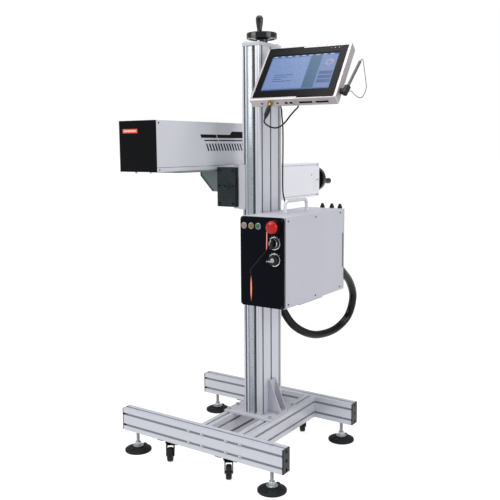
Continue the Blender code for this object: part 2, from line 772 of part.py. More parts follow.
def make_base_gusset():
    """A cast angle bracket in the corner between the column and the base plate, with two side webs."""
    left, bottom = COLUMN_RIGHT_X + SEAT, COLUMN_BOTTOM
    middle, half = LIFT_Y, GUSSET_WIDTH / 2
    upright_high = (left + GUSSET_WALL, middle + half, bottom + GUSSET_HEIGHT)
    upright = box("base_gusset", (left, middle - half, bottom), upright_high, ALUMINIUM)
    sole_high = (left + GUSSET_REACH, middle + half, bottom + GUSSET_WALL)
    sole = box("sole", (left + 0.001, middle - half, bottom), sole_high, ALUMINIUM)
    web = [
        (bottom + 0.001, left + 0.001),
        (bottom + GUSSET_HEIGHT - 0.001, left + 0.001),
        (bottom + GUSSET_HEIGHT - 0.001, left + GUSSET_WALL + 0.001),
        (bottom + GUSSET_WALL + 0.006, left + GUSSET_REACH - 0.001),
        (bottom + 0.001, left + GUSSET_REACH - 0.001),
    ]
    webs = []
    for y in (middle - half + 0.0021, middle + half - 0.0021):
        frame = Matrix(SECTION_AXES["Y"]).transposed().to_4x4()
        frame.translation = (0, y, 0)
        webs.append(flat("web", web, 0.004, frame, ALUMINIUM))
    return join(upright, sole, *webs)


def handwheel(name, centre, direction):
    """A dished wheel on the end of a screw, from the hub's inner face."""
    top = HANDWHEEL_HUB_HEIGHT
    rim_low, rim_high = top + 0.005 - HANDWHEEL_RIM / 2, top + 0.005 + HANDWHEEL_RIM / 2
    inner = HANDWHEEL_RADIUS - HANDWHEEL_RIM_WIDTH
    bore = SCREW_RADIUS + SEAT
    profile = [
        (0.0, top + 0.004),
        (HANDWHEEL_HUB_RADIUS - 0.003, top + 0.004),
        (HANDWHEEL_HUB_RADIUS, top + 0.001),
        (inner - 0.003, top + 0.002),
        (inner, rim_high - 0.002),
        (inner + 0.002, rim_high),
        (HANDWHEEL_RADIUS - 0.0015, rim_high),
        (HANDWHEEL_RADIUS, rim_high - 0.0015),
        (HANDWHEEL_RADIUS, rim_low + 0.0015),
        (HANDWHEEL_RADIUS - 0.0015, rim_low),
        (HANDWHEEL_RADIUS - 0.006, rim_low),
        (HANDWHEEL_RADIUS - 0.008, rim_low + 0.003),
        (inner, top - 0.003),
        (HANDWHEEL_HUB_RADIUS, top - 0.006),
        (HANDWHEEL_HUB_RADIUS - 0.001, 0.0),
        (bore, 0.0),
        (bore, top - 0.004),
        (0.0, top - 0.004),
    ]
    return turned(name, profile, centre, direction, BLACK_PLASTIC, 36)


def knob(name, base, direction):
    """A revolving handle, open below for the pin that it turns on."""
    bore = KNOB_PIN_RADIUS + RUNNING
    profile = [
        (0.0, KNOB_LENGTH),
        (KNOB_RADIUS * 0.6, KNOB_LENGTH - 0.001),
        (KNOB_RADIUS, KNOB_LENGTH - 0.008),
        (KNOB_RADIUS * 0.95, KNOB_LENGTH - 0.022),
        (KNOB_RADIUS * 0.65, 0.004),
        (KNOB_RADIUS * 0.72, 0.0),
        (bore, 0.0),
        (bore, KNOB_LENGTH - 0.012),
        (0.0, KNOB_LENGTH - 0.012),
    ]
    return turned(name, profile, base, direction, BLACK_PLASTIC, 20)


def knob_height():
    """Where the handle starts above the handwheel's base."""
    return HANDWHEEL_HUB_HEIGHT + 0.005 + HANDWHEEL_RIM / 2 + RUNNING


def make_lift_drive(stand):
    top = COLUMN_TOP_Z + SEAT + TOP_PLATE_THICKNESS
    drive = body("lift_drive", (LIFT_X, LIFT_Y, top), stand)
    wheel_base = top + SEAT
    screw_end = wheel_base + HANDWHEEL_HUB_HEIGHT - 0.005
    screw_bottom = COLUMN_BOTTOM + 0.0005
    screw_ends = ((LIFT_X, LIFT_Y, screw_bottom), (LIFT_X, LIFT_Y, screw_end))
    screw = rod("lift_screw", SCREW_RADIUS, *screw_ends, STEEL)
    wheel = handwheel("lift_handwheel", (LIFT_X, LIFT_Y, wheel_base), Z_AXIS)
    x = LIFT_X + KNOB_ORBIT * math.cos(TOP_KNOB_ANGLE)
    y = LIFT_Y + KNOB_ORBIT * math.sin(TOP_KNOB_ANGLE)
    knob_base = wheel_base + knob_height()
    pin_top = knob_base + KNOB_LENGTH - 0.0125
    join(wheel, rod("knob_pin", KNOB_PIN_RADIUS, (x, y, knob_base - 0.012), (x, y, pin_top), STEEL, 16))
    hang(drive, screw, wheel)
    turning = body("lift_knob_turn", (x, y, knob_base), drive)
    hang(turning, knob("lift_knob", (x, y, knob_base), Z_AXIS))


def make_carriage(stand):
    """The block that the screw lifts. Two lips hold the arm, and a key runs in the front groove."""
    carriage = body("lift_carriage_body", (LIFT_X, LIFT_Y, CARRIAGE_BOTTOM_Z), stand)
    bottom, top = CARRIAGE_BOTTOM_Z, CARRIAGE_BOTTOM_Z + CARRIAGE_HEIGHT
    middle = (bottom + top) / 2
    front, back = CARRIAGE_FRONT_Y, CARRIAGE_BACK_Y
    left, right = CARRIAGE_LEFT_X, CARRIAGE_RIGHT_X
    block = box("lift_carriage", (left, front, bottom), (right, back, top), ALUMINIUM)
    nut_low = (right - 0.002, LIFT_Y - NUT_WIDTH / 2, middle - NUT_LENGTH / 2)
    nut_high = (COLUMN_LEFT_X + CHANNEL_DEPTH - 0.0015, LIFT_Y + NUT_WIDTH / 2, middle + NUT_LENGTH / 2)
    nut = box("nut", nut_low, nut_high, ALUMINIUM)
    lip_ends = (left - CARRIAGE_LIP_REACH, left + 0.002)
    lips = [
        box("lip", (lip_ends[0], front, low), (lip_ends[1], back, high), ALUMINIUM)
        for low, high in ((bottom, ARM_BOTTOM_Z - SEAT), (ARM_TOP_Z + SEAT, top))
    ]
    gib_back = COLUMN_FRONT_Y - SLIDE
    gib_front = gib_back - GIB_THICKNESS
    key_left, key_right = COLUMN_LEFT_X + 0.0055 + SLIDE, COLUMN_LEFT_X + 0.0125 - SLIDE
    gib = box("gib", (right - CARRIAGE_CHEEK, gib_front, bottom), (key_right, gib_back, top), ALUMINIUM)
    cheek_low = (right - CARRIAGE_CHEEK, gib_front + 0.0002, bottom)
    cheek = box("cheek", cheek_low, (right, front + 0.002, top), ALUMINIUM)
    key_low = (key_left, gib_front + 0.001, bottom)
    key = box("key", key_low, (key_right, COLUMN_FRONT_Y + 0.010, top), ALUMINIUM)
    join(block, nut, *lips, cheek, gib, key)
    bore_low, bore_high = (LIFT_X, LIFT_Y, bottom - 0.01), (LIFT_X, LIFT_Y, top + 0.01)
    cut(block, rod("bore", SCREW_RADIUS + RUNNING, bore_low, bore_high, STEEL))
    hang(carriage, block)
    return carriage


# ---------------------------------------------------------------- cross arm


def arm_section():
    """The arm's section, across (Z) by up (X): an open channel on its left side for the slider's nut."""
    middle = ARM_HEIGHT / 2
    return slotted_section(ARM_HEIGHT, ARM_WIDTH, low_y=[groove(middle, CHANNEL_WIDTH, ARM_CHANNEL_DEPTH)])


def make_arm(carriage):
    start = ARM_FRONT_Y + ARM_FRONT_PLATE + SEAT
    end = ARM_BACK_Y - ARM_REAR_PLATE - SEAT
    corner = (ARM_LEFT_X, start, ARM_BOTTOM_Z)
    arm = extrusion("arm_profile", arm_section(), corner, end - start, "Y", SILVER_PAINT)
    drop = FRONT_PLATE_DROP
    front_low = (ARM_LEFT_X, ARM_FRONT_Y, ARM_BOTTOM_Z - drop)
    front_high = (ARM_RIGHT_X, start - SEAT, ARM_TOP_Z - drop)
    front = box("arm_front_plate", front_low, front_high, DARK_CAST, 0.001)
    rear_low = (ARM_LEFT_X, end + SEAT, ARM_BOTTOM_Z)
    rear = box("arm_rear_plate", rear_low, (ARM_RIGHT_X, ARM_BACK_Y, ARM_TOP_Z), SILVER_PAINT, 0.001)
    for plate in (front, rear):
        hole_ends = [(ARM_SCREW_X, plate.location.y + reach, ARM_SCREW_Z) for reach in (-0.02, 0.02)]
        cut(plate, rod("screw_hole", SCREW_RADIUS + RUNNING, *hole_ends, STEEL))
    hang(carriage, arm, front, rear)


def make_arm_drive(carriage):
    drive = body("arm_drive", (ARM_SCREW_X, ARM_BACK_Y, ARM_SCREW_Z), carriage)
    wheel_base = ARM_BACK_Y + SEAT
    screw_start = (ARM_SCREW_X, ARM_FRONT_Y + 0.004, ARM_SCREW_Z)
    screw_end = (ARM_SCREW_X, wheel_base + HANDWHEEL_HUB_HEIGHT - 0.005, ARM_SCREW_Z)
    screw = rod("arm_screw", SCREW_RADIUS, screw_start, screw_end, STEEL)
    back = Vector((0, 1, 0))
    wheel = handwheel("arm_handwheel", (ARM_SCREW_X, wheel_base, ARM_SCREW_Z), back)
    x = ARM_SCREW_X + KNOB_ORBIT * math.cos(ARM_KNOB_ANGLE)
    z = ARM_SCREW_Z + KNOB_ORBIT * math.sin(ARM_KNOB_ANGLE)
    knob_base = wheel_base + knob_height()
    pin_end = knob_base + KNOB_LENGTH - 0.0125
    join(wheel, rod("knob_pin", KNOB_PIN_RADIUS, (x, knob_base - 0.012, z), (x, pin_end, z), STEEL, 16))
    hang(drive, screw, wheel)
    turning = body("arm_knob_turn", (x, knob_base, z), drive)
    hang(turning, knob("arm_knob", (x, knob_base, z), back))


# ---------------------------------------------------------------- marking head


def make_head(carriage):
    middle_y = SLIDER_FRONT_Y + SLIDER_LENGTH / 2
    head = body("head_carriage_body", (ARM_SCREW_X, middle_y, ARM_SCREW_Z), carriage)
    slider_top = SHELF_BOTTOM_Z - SEAT
    slider_bottom = 2 * ARM_SCREW_Z - slider_top
    slider = box(
        "head_slider",
        (SLIDER_LEFT_X, SLIDER_FRONT_Y, slider_bottom),
        (SLIDER_RIGHT_X, SLIDER_FRONT_Y + SLIDER_LENGTH, slider_top),
        ALUMINIUM,
    )
    nut = box(
        "nut",
        (SLIDER_RIGHT_X - 0.002, middle_y - NUT_LENGTH / 2, ARM_SCREW_Z - NUT_WIDTH / 2),
        (ARM_LEFT_X + ARM_CHANNEL_DEPTH - 0.0015, middle_y + NUT_LENGTH / 2, ARM_SCREW_Z + NUT_WIDTH / 2),
        ALUMINIUM,
    )
    join(slider, nut)
    bore_ends = [(ARM_SCREW_X, middle_y + sign * SLIDER_LENGTH, ARM_SCREW_Z) for sign in (-1, 1)]
    cut(slider, rod("bore", SCREW_RADIUS + RUNNING, *bore_ends, STEEL))
    hang(head, slider, make_head_bracket(), *make_head_shell())


def make_head_bracket():
    """A shelf under the head, a wall on the slider, and two triangular gussets between them."""
    wall_left = BRACKET_RIGHT_X - BRACKET_WALL
    wall_bottom = SHELF_BOTTOM_Z - BRACKET_DROP
    wall_back = SLIDER_FRONT_Y + SLIDER_LENGTH
    wall_high = (BRACKET_RIGHT_X, wall_back, SHELF_TOP_Z)
    wall = box("head_bracket", (wall_left, SLIDER_FRONT_Y, wall_bottom), wall_high, GREY_BRACKET)
    shelf_low = (BRACKET_RIGHT_X - SHELF_WIDTH, SHELF_FRONT_Y, SHELF_BOTTOM_Z)
    shelf_high = (BRACKET_RIGHT_X - 0.0002, SHELF_FRONT_Y + SHELF_LENGTH, SHELF_TOP_Z - 0.0001)
    shelf = box("shelf", shelf_low, shelf_high, GREY_BRACKET)
    outline = [
        (SHELF_BOTTOM_Z + 0.002, wall_left - HEAD_GUSSET_REACH),
        (SHELF_BOTTOM_Z - HEAD_GUSSET_LIP, wall_left - HEAD_GUSSET_REACH),
        (wall_bottom + 0.001, wall_left - HEAD_GUSSET_FOOT),
        (wall_bottom + 0.001, wall_left + 0.002),
        (SHELF_BOTTOM_Z + 0.002, wall_left + 0.002),
    ]
    gussets = []
    for y in (SLIDER_FRONT_Y + BRACKET_WALL / 2 + 0.0003, wall_back - BRACKET_WALL / 2 - 0.0003):
        frame = Matrix(SECTION_AXES["Y"]).transposed().to_4x4()
        frame.translation = (0, y, 0)
        gussets.append(flat("gusset", outline, BRACKET_WALL, frame, GREY_BRACKET))
    return join(wall, shelf, *gussets)


def make_head_shell():
    """The head's box, open at the front where the black cover closes it."""
    cover_back = HEAD_FRONT_Y + HEAD_COVER_THICKNESS
    low = Vector((HEAD_LEFT_X, cover_back + SEAT, HEAD_BOTTOM_Z))
    high = Vector((HEAD_RIGHT_X, HEAD_FRONT_Y + HEAD_LENGTH, HEAD_BOTTOM_Z + HEAD_HEIGHT))
    shell = box("head_housing", low, high, SILVER_PAINT)
    wall = Vector((HEAD_WALL, HEAD_WALL, HEAD_WALL))
    hollow_low = Vector((low.x + HEAD_WALL, low.y - 0.01, low.z + HEAD_WALL))
    cut(shell, box("hollow", hollow_low, high - wall, SILVER_PAINT))
    cover_low = (HEAD_LEFT_X, HEAD_FRONT_Y, HEAD_BOTTOM_Z)
    cover_high = (HEAD_RIGHT_X, cover_back, HEAD_BOTTOM_Z + HEAD_HEIGHT)
    cover = box("head_front_cover", cover_low, cover_high, BLACK_PLASTIC)
    window_left = HEAD_LEFT_X + STATUS_WINDOW_INSET
    window_top = HEAD_BOTTOM_Z + HEAD_HEIGHT - STATUS_WINDOW_DROP
    window_low = Vector((window_left, HEAD_FRONT_Y + 0.0005, window_top - STATUS_WINDOW_HEIGHT))
    window_high = Vector((window_left + STATUS_WINDOW_WIDTH, cover_back - 0.002, window_top))
    window = box("head_status_window", window_low, window_high, LIT_WINDOW)
    ring = Vector((SEAT, 0.02, SEAT))
    cut(cover, box("window_hole", window_low - ring, window_high + ring, BLACK_PLASTIC))
    pins = []
    for share in (0.36, 0.77):
        x, y = HEAD_LEFT_X + share * HEAD_WIDTH, low.y + 0.008
        ends = ((x, y, HEAD_BOTTOM_Z - LOCATING_PIN_LENGTH), (x, y, HEAD_BOTTOM_Z + HEAD_WALL - 0.001))
        pins.append(rod("pin", LOCATING_PIN_RADIUS, *ends, BLACK_PLASTIC, 12))
    join(shell, *pins)
    return shell, cover, window


# ---------------------------------------------------------------- control box


def rounded_rectangle(width, height, corner, steps=4):
    points = []
    right, top = width - corner, height - corner
    for x, z, start in ((right, top, 0), (corner, top, 90), (corner, corner, 180), (right, corner, 270)):
        for step in range(steps + 1):
            angle = math.radians(start + 90 * step / steps)
            points.append((x + corner * math.cos(angle), z + corner * math.sin(angle)))
    return points


def wall_frame(x, y, z):
    """A plane that faces the front: its X runs along X, and its Y along Z."""
    frame = Matrix((Vector((1, 0, 0)), Vector((0, 0, 1)), Vector((0, -1, 0)))).transposed().to_4x4()
    frame.translation = (x, y, z)
    return frame


def through_hole(radius, x, y, z, length=0.03):
    return rod("hole", radius, (x, y - length, z), (x, y + length, z), BLACK_PAINT)


def make_control_box(stand):
    panel_back = BOX_FRONT_Y + PANEL_THICKNESS
    rear_front = BOX_BACK_Y - BOX_WALL
    low = Vector((BOX_LEFT_X, panel_back + SEAT, BOX_BOTTOM_Z))
    high = Vector((BOX_RIGHT_X, rear_front - SEAT, BOX_TOP_Z))
    housing = box("control_box_housing", low, high, SILVER_PAINT)
    wall = Vector((BOX_WALL, -0.01, BOX_WALL))
    cut(housing, box("hollow", low + wall, high - wall, SILVER_PAINT))
    outline = rounded_rectangle(BOX_WIDTH, BOX_HEIGHT, PANEL_CORNER)
    panel_frame = wall_frame(BOX_LEFT_X, BOX_FRONT_Y + PANEL_THICKNESS / 2, BOX_BOTTOM_Z)
    panel = flat("control_panel", outline, PANEL_THICKNESS, panel_frame, BLACK_PAINT)
    rear_low = (BOX_LEFT_X, rear_front, BOX_BOTTOM_Z)
    rear = box("control_box_rear", rear_low, (BOX_RIGHT_X, BOX_BACK_Y, BOX_TOP_Z), BLACK_PAINT)
    add_hose_gland(rear)
    controls = make_panel_controls(stand, panel)
    hang(stand, housing, panel, rear, controls, make_box_handle(), make_box_bracket())


def gland_place():
    x, _, z = HOSE_ROUTE[0]
    return Vector((x, BOX_BACK_Y, z))


def add_hose_gland(rear):
    """A stepped nut that the hose ends in."""
    start = gland_place()
    flange_ends = (start - Vector((0, 0.001, 0)), start + Vector((0, 0.010, 0)))
    flange = rod("flange", GLAND_RADIUS, *flange_ends, BLACK_PLASTIC)
    neck_end = start + Vector((0, GLAND_LENGTH, 0))
    neck = rod("neck", GLAND_RADIUS - 0.003, start, neck_end, BLACK_PLASTIC)
    join(rear, flange, neck)


def make_panel_controls(stand, panel):
    """Lamps, stop button, key and selector in the panel's holes. The lamps stand on one board behind it."""
    behind = BOX_FRONT_Y + PANEL_THICKNESS
    lamp_z = BOX_TOP_Z - LAMP_DROP
    lamps = []
    for number in range(3):
        x = BOX_LEFT_X + LAMP_FIRST_X + number * LAMP_PITCH
        cut(panel, through_hole(LAMP_RADIUS + SEAT, x, BOX_FRONT_Y, lamp_z))
        lamp_ends = ((x, BOX_FRONT_Y - LAMP_STAND_OUT, lamp_z), (x, behind + 0.0035, lamp_z))
        lamps.append(rod("lamp", LAMP_RADIUS, *lamp_ends, LAMP_PLASTIC))
    board_low = (BOX_LEFT_X + BOX_WALL + 0.001, behind + 0.0025, lamp_z - 0.012)
    board_high = (BOX_LEFT_X + LAMP_FIRST_X + 2 * LAMP_PITCH + 0.012, behind + 0.0045, lamp_z + 0.012)
    board = join(box("pilot_lamps", board_low, board_high, LAMP_PLASTIC), *lamps)
    x = BOX_LEFT_X + CONTROL_X
    make_stop_button(stand, panel, x, BOX_TOP_Z - STOP_DROP)
    selector_place = (x, BOX_FRONT_Y, BOX_TOP_Z - SELECTOR_DROP)
    key_place = (x, BOX_FRONT_Y, BOX_TOP_Z - KEY_DROP)
    selector_sizes = (SELECTOR_RADIUS, SELECTOR_RISE, SELECTOR_GRIP)
    make_rotary(stand, panel, "selector_switch", selector_place, *selector_sizes)
    make_rotary(stand, panel, "key_switch", key_place, KEY_RADIUS, KEY_RISE, KEY_BOW)
    return board


def make_stop_button(stand, panel, x, z):
    """A mushroom button on a stem that slides through the panel."""
    stem = STOP_HEAD_RADIUS * 0.45
    button = body("emergency_stop_push", (x, BOX_FRONT_Y, z), stand)
    head_back = STOP_STAND_OUT - 0.016
    profile = [
        (0.0, STOP_STAND_OUT),
        (STOP_HEAD_RADIUS * 0.55, STOP_STAND_OUT - 0.001),
        (STOP_HEAD_RADIUS * 0.88, STOP_STAND_OUT - 0.004),
        (STOP_HEAD_RADIUS, STOP_STAND_OUT - 0.009),
        (STOP_HEAD_RADIUS, head_back + 0.003),
        (STOP_HEAD_RADIUS - 0.003, head_back),
        (stem, head_back),
        (stem, -PANEL_THICKNESS - 0.012),
        (0.0, -PANEL_THICKNESS - 0.012),
    ]
    piece = turned("emergency_stop", profile, (x, BOX_FRONT_Y, z), (0, -1, 0), RED_PLASTIC, 28)
    cut(panel, through_hole(stem + RUNNING, x, BOX_FRONT_Y, z))
    hang(button, piece)


def make_rotary(stand, panel, name, place, radius, rise, grip_size):
    """A turning switch: a round base in the panel's hole, with a grip bar or a key's bow on it."""
    turning = body(f"{name}_turn", place, stand)
    back = -PANEL_THICKNESS - 0.010
    profile = [
        (0.0, rise),
        (radius - 0.001, rise),
        (radius, rise - 0.001),
        (radius, 0.0004),
        (radius * 0.75, 0.0004),
        (radius * 0.75, back),
        (0.0, back),
    ]
    piece = turned(name, profile, place, (0, -1, 0), BLACK_PLASTIC, 28)
    x, y, z = place
    width, height, reach = grip_size
    grip_low = (x - width / 2, y - rise - reach, z - height / 2)
    grip_high = (x + width / 2, y - rise + 0.001, z + height / 2)
    join(piece, box("grip", grip_low, grip_high, BLACK_PLASTIC))
    cut(panel, through_hole(radius * 0.75 + RUNNING, x, y, z))
    hang(turning, piece)


def make_box_handle():
    """A bent round bar on the box's lid."""
    x = BOX_LEFT_X + BOX_WIDTH / 2
    front, back = BOX_FRONT_Y + BOX_HANDLE_FRONT, BOX_FRONT_Y + BOX_HANDLE_FRONT + BOX_HANDLE_LENGTH
    bottom = BOX_TOP_Z + SEAT
    top = BOX_TOP_Z + BOX_HANDLE_HEIGHT - BOX_HANDLE_RADIUS
    bend = 0.018
    points = [(x, front, bottom)]
    for centre, start in ((front + bend, 180), (back - bend, 90)):
        for step in range(5):
            angle = math.radians(start - 22.5 * step)
            points.append((x, centre + bend * math.cos(angle), top - bend + bend * math.sin(angle)))
    points.append((x, back, bottom))
    return tube("control_box_handle", points, BOX_HANDLE_RADIUS, ALUMINIUM, sections=1)


def make_box_bracket():
    """An angle between column and box: a back plate on the column and a shelf under the box."""
    left, right = COLUMN_RIGHT_X + SEAT, BOX_LEFT_X - SEAT
    front, back = BOX_BRACKET_FRONT_Y, BOX_BRACKET_FRONT_Y + BOX_BRACKET_DEPTH
    shelf_top = BOX_BOTTOM_Z - SEAT
    shelf_bottom = shelf_top - BOX_BRACKET_THICKNESS
    plate_high = (right, back, shelf_bottom + BOX_BRACKET_HEIGHT)
    plate = box("control_box_bracket", (left, COLUMN_FRONT_Y, shelf_bottom), plate_high, SILVER_PAINT)
    shelf_low = (left + 0.0002, front, shelf_bottom + 0.0001)
    shelf = box("shelf", shelf_low, (BOX_RIGHT_X, back - 0.0005, shelf_top), SILVER_PAINT)
    return join(plate, shelf)


def make_hose(stand):
    """The hose runs from the gland, hangs in a loop and rises into the inlet on the column's back."""
    gland_end = gland_place() + Vector((0, GLAND_LENGTH + SEAT, 0))
    width, depth, height = HOSE_INLET_SIZE
    centre_y = COLUMN_BACK_Y + SEAT + depth / 2
    low = (LIFT_X - width / 2, COLUMN_BACK_Y + SEAT, HOSE_INLET_BOTTOM_Z)
    high = (LIFT_X + width / 2, COLUMN_BACK_Y + SEAT + depth, HOSE_INLET_BOTTOM_Z + height)
    inlet = box("hose_inlet", low, high, BLACK_PLASTIC, 0.004)
    below = (LIFT_X, centre_y, HOSE_INLET_BOTTOM_Z - 0.045)
    end = (LIFT_X, centre_y, HOSE_INLET_BOTTOM_Z - SEAT)
    hose = tube("umbilical_hose", [gland_end, *HOSE_ROUTE, below, end], HOSE_RADIUS, BLACK_RUBBER, 3)
    hang(stand, inlet, hose)


# ---------------------------------------------------------------- display


def display_turn():
    return Euler((-DISPLAY_TILT, 0.0, DISPLAY_SWIVEL)).to_matrix()


def display_point(x, y, z):
    """A point of the display's own frame (right, back, up from its lower left front corner) in the room."""
    return Vector(DISPLAY_CORNER) + display_turn() @ Vector((x, y, z))


def hinge_in_case():
    return Vector((DISPLAY_WIDTH / 2, DISPLAY_DEPTH + HINGE_STAND_OFF, HINGE_HEIGHT))


def make_display_bracket(stand):
    """A foot on the column and an arm along it to the swivel, with the flange that the yoke turns on."""
    axis = display_point(*hinge_in_case())
    arm_top = axis.z - DISPLAY_ARM_DROP
    arm_bottom = arm_top - DISPLAY_ARM_HEIGHT
    left = COLUMN_RIGHT_X + SEAT
    half = DISPLAY_ARM_WIDTH / 2
    foot_front = axis.y - half - 0.0002
    foot_back, foot_top = foot_front + DISPLAY_FOOT_WIDTH, arm_bottom + DISPLAY_FOOT_HEIGHT
    foot_high = (left + DISPLAY_FOOT_THICKNESS, foot_back, foot_top)
    foot = box("display_bracket", (left, foot_front, arm_bottom), foot_high, GREY_BRACKET)
    arm_low = (left + 0.001, axis.y - half, arm_bottom + 0.0002)
    arm = box("arm", arm_low, (axis.x, axis.y + half, arm_top), GREY_BRACKET)
    end_low, end_high = (axis.x, axis.y, arm_bottom + 0.0005), (axis.x, axis.y, arm_top + 0.001)
    end = rod("end", SWIVEL_FLANGE_RADIUS, end_low, end_high, GREY_BRACKET)
    join(foot, arm, end)
    hang(stand, foot)
    return axis, arm_top + 0.001


def make_display_yoke(stand, axis, seat_top):
    """The yoke turns on the bracket and holds the tilt hinge's barrel."""
    swivel = body("display_swivel_body", axis, stand)
    turn = Matrix.Rotation(DISPLAY_SWIVEL, 3, "Z")
    along = turn @ Vector((1, 0, 0))
    low = Vector((axis.x, axis.y, seat_top + SEAT))
    flange_top = low + Vector((0, 0, SWIVEL_FLANGE_THICKNESS))
    yoke = rod("display_yoke", SWIVEL_FLANGE_RADIUS, low, flange_top, GREY_BRACKET)
    post = rod("post", SWIVEL_POST_RADIUS, low + Vector((0, 0, 0.001)), axis, GREY_BRACKET, 20)
    half = along * HINGE_BARREL_LENGTH / 2
    barrel = rod("barrel", HINGE_BARREL_RADIUS, axis - half, axis + half, GREY_BRACKET)
    join(yoke, post, barrel)
    cut(yoke, rod("bore", HINGE_PIN_RADIUS + RUNNING, axis - 2 * half, axis + 2 * half, GREY_BRACKET))
    hang(swivel, yoke)
    return swivel


def make_display(stand):
    axis, seat_top = make_display_bracket(stand)
    swivel = make_display_yoke(stand, axis, seat_top)
    tilt = body("display_tilt_body", axis, swivel)
    tilt.rotation_euler = Euler((-DISPLAY_TILT, 0.0, DISPLAY_SWIVEL))
    shift = -hinge_in_case()
    pieces = [make_display_case(), *make_display_face()]
    pieces += [make_display_plug(), make_tether(), make_loop_cable()]
    for piece in pieces:
        piece.location = piece.location + shift
        piece.parent = tilt
    make_stylus(tilt, shift)


def make_display_case():
    """The case in its own frame, open at the front, with hinge ears, a hinge pin and the stylus holder."""
    size = Vector((DISPLAY_WIDTH, DISPLAY_DEPTH, DISPLAY_HEIGHT))
    case = box("display_case", (0, 0, 0), size, BRUSHED_CASE)
    bevel(case, 0.003)
    wall = Vector((DISPLAY_WALL + 0.006, 0, DISPLAY_WALL + 0.006))
    hollow_high = size - wall - Vector((0, DISPLAY_WALL, 0))
    cut(case, box("hollow", wall - Vector((0, 0.01, 0)), hollow_high, BRUSHED_CASE))
    hinge = hinge_in_case()
    side = HINGE_BARREL_LENGTH / 2 + SLIDE
    ears = []
    for sign in (-1, 1):
        near, far = hinge.x + sign * side, hinge.x + sign * (side + HINGE_EAR_THICKNESS)
        low = (min(near, far), DISPLAY_DEPTH - 0.001, hinge.z - 0.011)
        high = (max(near, far), hinge.y + 0.009, hinge.z + 0.011)
        ears.append(box("ear", low, high, BRUSHED_CASE))
    reach = Vector((side + HINGE_EAR_THICKNESS - 0.001, 0, 0))
    pin = rod("pin", HINGE_PIN_RADIUS, hinge - reach, hinge + reach, STEEL, 20)
    holder_ends = (stylus_point(0), stylus_point(STYLUS_HOLDER_LENGTH))
    holder = rod("holder", STYLUS_HOLDER_RADIUS, *holder_ends, BLACK_PLASTIC, 20)
    grip_low = (DISPLAY_WIDTH - 0.002, 0.012, stylus_point(0).z + 0.004)
    grip_high = (stylus_point(0).x, 0.022, stylus_point(0).z + 0.016)
    join(case, *ears, pin, holder, box("grip", grip_low, grip_high, BLACK_PLASTIC))
    bore_ends = (stylus_point(0.004), stylus_point(STYLUS_HOLDER_LENGTH + 0.02))
    return cut(case, rod("bore", STYLUS_RADIUS + RUNNING, *bore_ends, BLACK_PLASTIC, 20))


def make_display_face():
    """The bezel with its window and the screen behind it."""
    low = Vector((BEZEL_MARGIN, 0.0, BEZEL_MARGIN))
    high = Vector((DISPLAY_WIDTH - BEZEL_MARGIN, BEZEL_THICKNESS, DISPLAY_HEIGHT - BEZEL_MARGIN))
    bezel = box("display_bezel", low, high, BLACK_PLASTIC)
    bezel.location.y -= 0.001
    window_low = Vector((SCREEN_MARGIN_X, -0.02, SCREEN_MARGIN_Z))
    window_high = Vector((DISPLAY_WIDTH - SCREEN_MARGIN_X - 0.004, 0.02, DISPLAY_HEIGHT - SCREEN_MARGIN_Z))
    cut(bezel, box("window", window_low, window_high, BLACK_PLASTIC))
    screen_front = BEZEL_THICKNESS - 0.001 + SEAT
    edge = 0.006
    screen_low = (SCREEN_MARGIN_X - edge, screen_front, SCREEN_MARGIN_Z - edge)
    screen_high = (window_high.x + edge, screen_front + SCREEN_THICKNESS, window_high.z + edge)
    return bezel, box("display_screen", screen_low, screen_high, SCREEN_GLASS)


def stylus_point(distance):
    """A point on the stylus's axis, which leans outwards beside the case."""
    lean = Vector((math.sin(STYLUS_LEAN), 0, math.cos(STYLUS_LEAN)))
    base = Vector((DISPLAY_WIDTH + STYLUS_OFFSET_X, DISPLAY_DEPTH / 2, STYLUS_BASE_Z))
    return base + lean * distance


def make_stylus(tilt, shift):
    start = stylus_point(0.004 + SEAT)
    lean = stylus_point(1) - stylus_point(0)
    profile = [
        (0.0, STYLUS_LENGTH),
        (STYLUS_RADIUS - 0.001, STYLUS_LENGTH),
        (STYLUS_RADIUS, STYLUS_LENGTH - 0.002),
        (STYLUS_RADIUS, 0.010),
        (0.001, 0.0),
        (0.0, 0.0),
    ]
    stylus = turned("stylus", profile, start, lean, BLACK_PLASTIC, 16)
    pulled = bpy.data.objects.new("stylus_body", None)
    PARTS.objects.link(pulled)
    pulled.location = start + shift
    pulled.parent = tilt
    stylus.location = (0, 0, 0)
    stylus.parent = pulled


def make_display_plug():
    y, low = DISPLAY_DEPTH / 2, -SEAT
    neck = PLUG_RADIUS - 0.002
    profile = [
        (0.0, low),
        (PLUG_RADIUS, low),
        (PLUG_RADIUS, low - 0.013),
        (neck, low - 0.015),
        (neck, low - 0.019),
        (PLUG_RADIUS, low - 0.021),
        (PLUG_RADIUS, low - 0.046),
        (neck, low - 0.050),
        (CABLE_RADIUS + 0.001, low - PLUG_LENGTH),
        (0.0, low - PLUG_LENGTH),
    ]
    return turned("display_plug", profile, (PLUG_X, y, 0), Z_AXIS, BLACK_PLASTIC, 20)


def make_loop_cable():
    """From the plug, down and round behind the display, up to its back."""
    plug_end = (PLUG_X, DISPLAY_DEPTH / 2, -2 * SEAT - PLUG_LENGTH)
    last = Vector(LOOP_ROUTE[-1])
    end = (last.x, DISPLAY_DEPTH + SEAT, last.z)
    return tube("display_loop_cable", [plug_end, *LOOP_ROUTE, end], CABLE_RADIUS, BLACK_RUBBER)


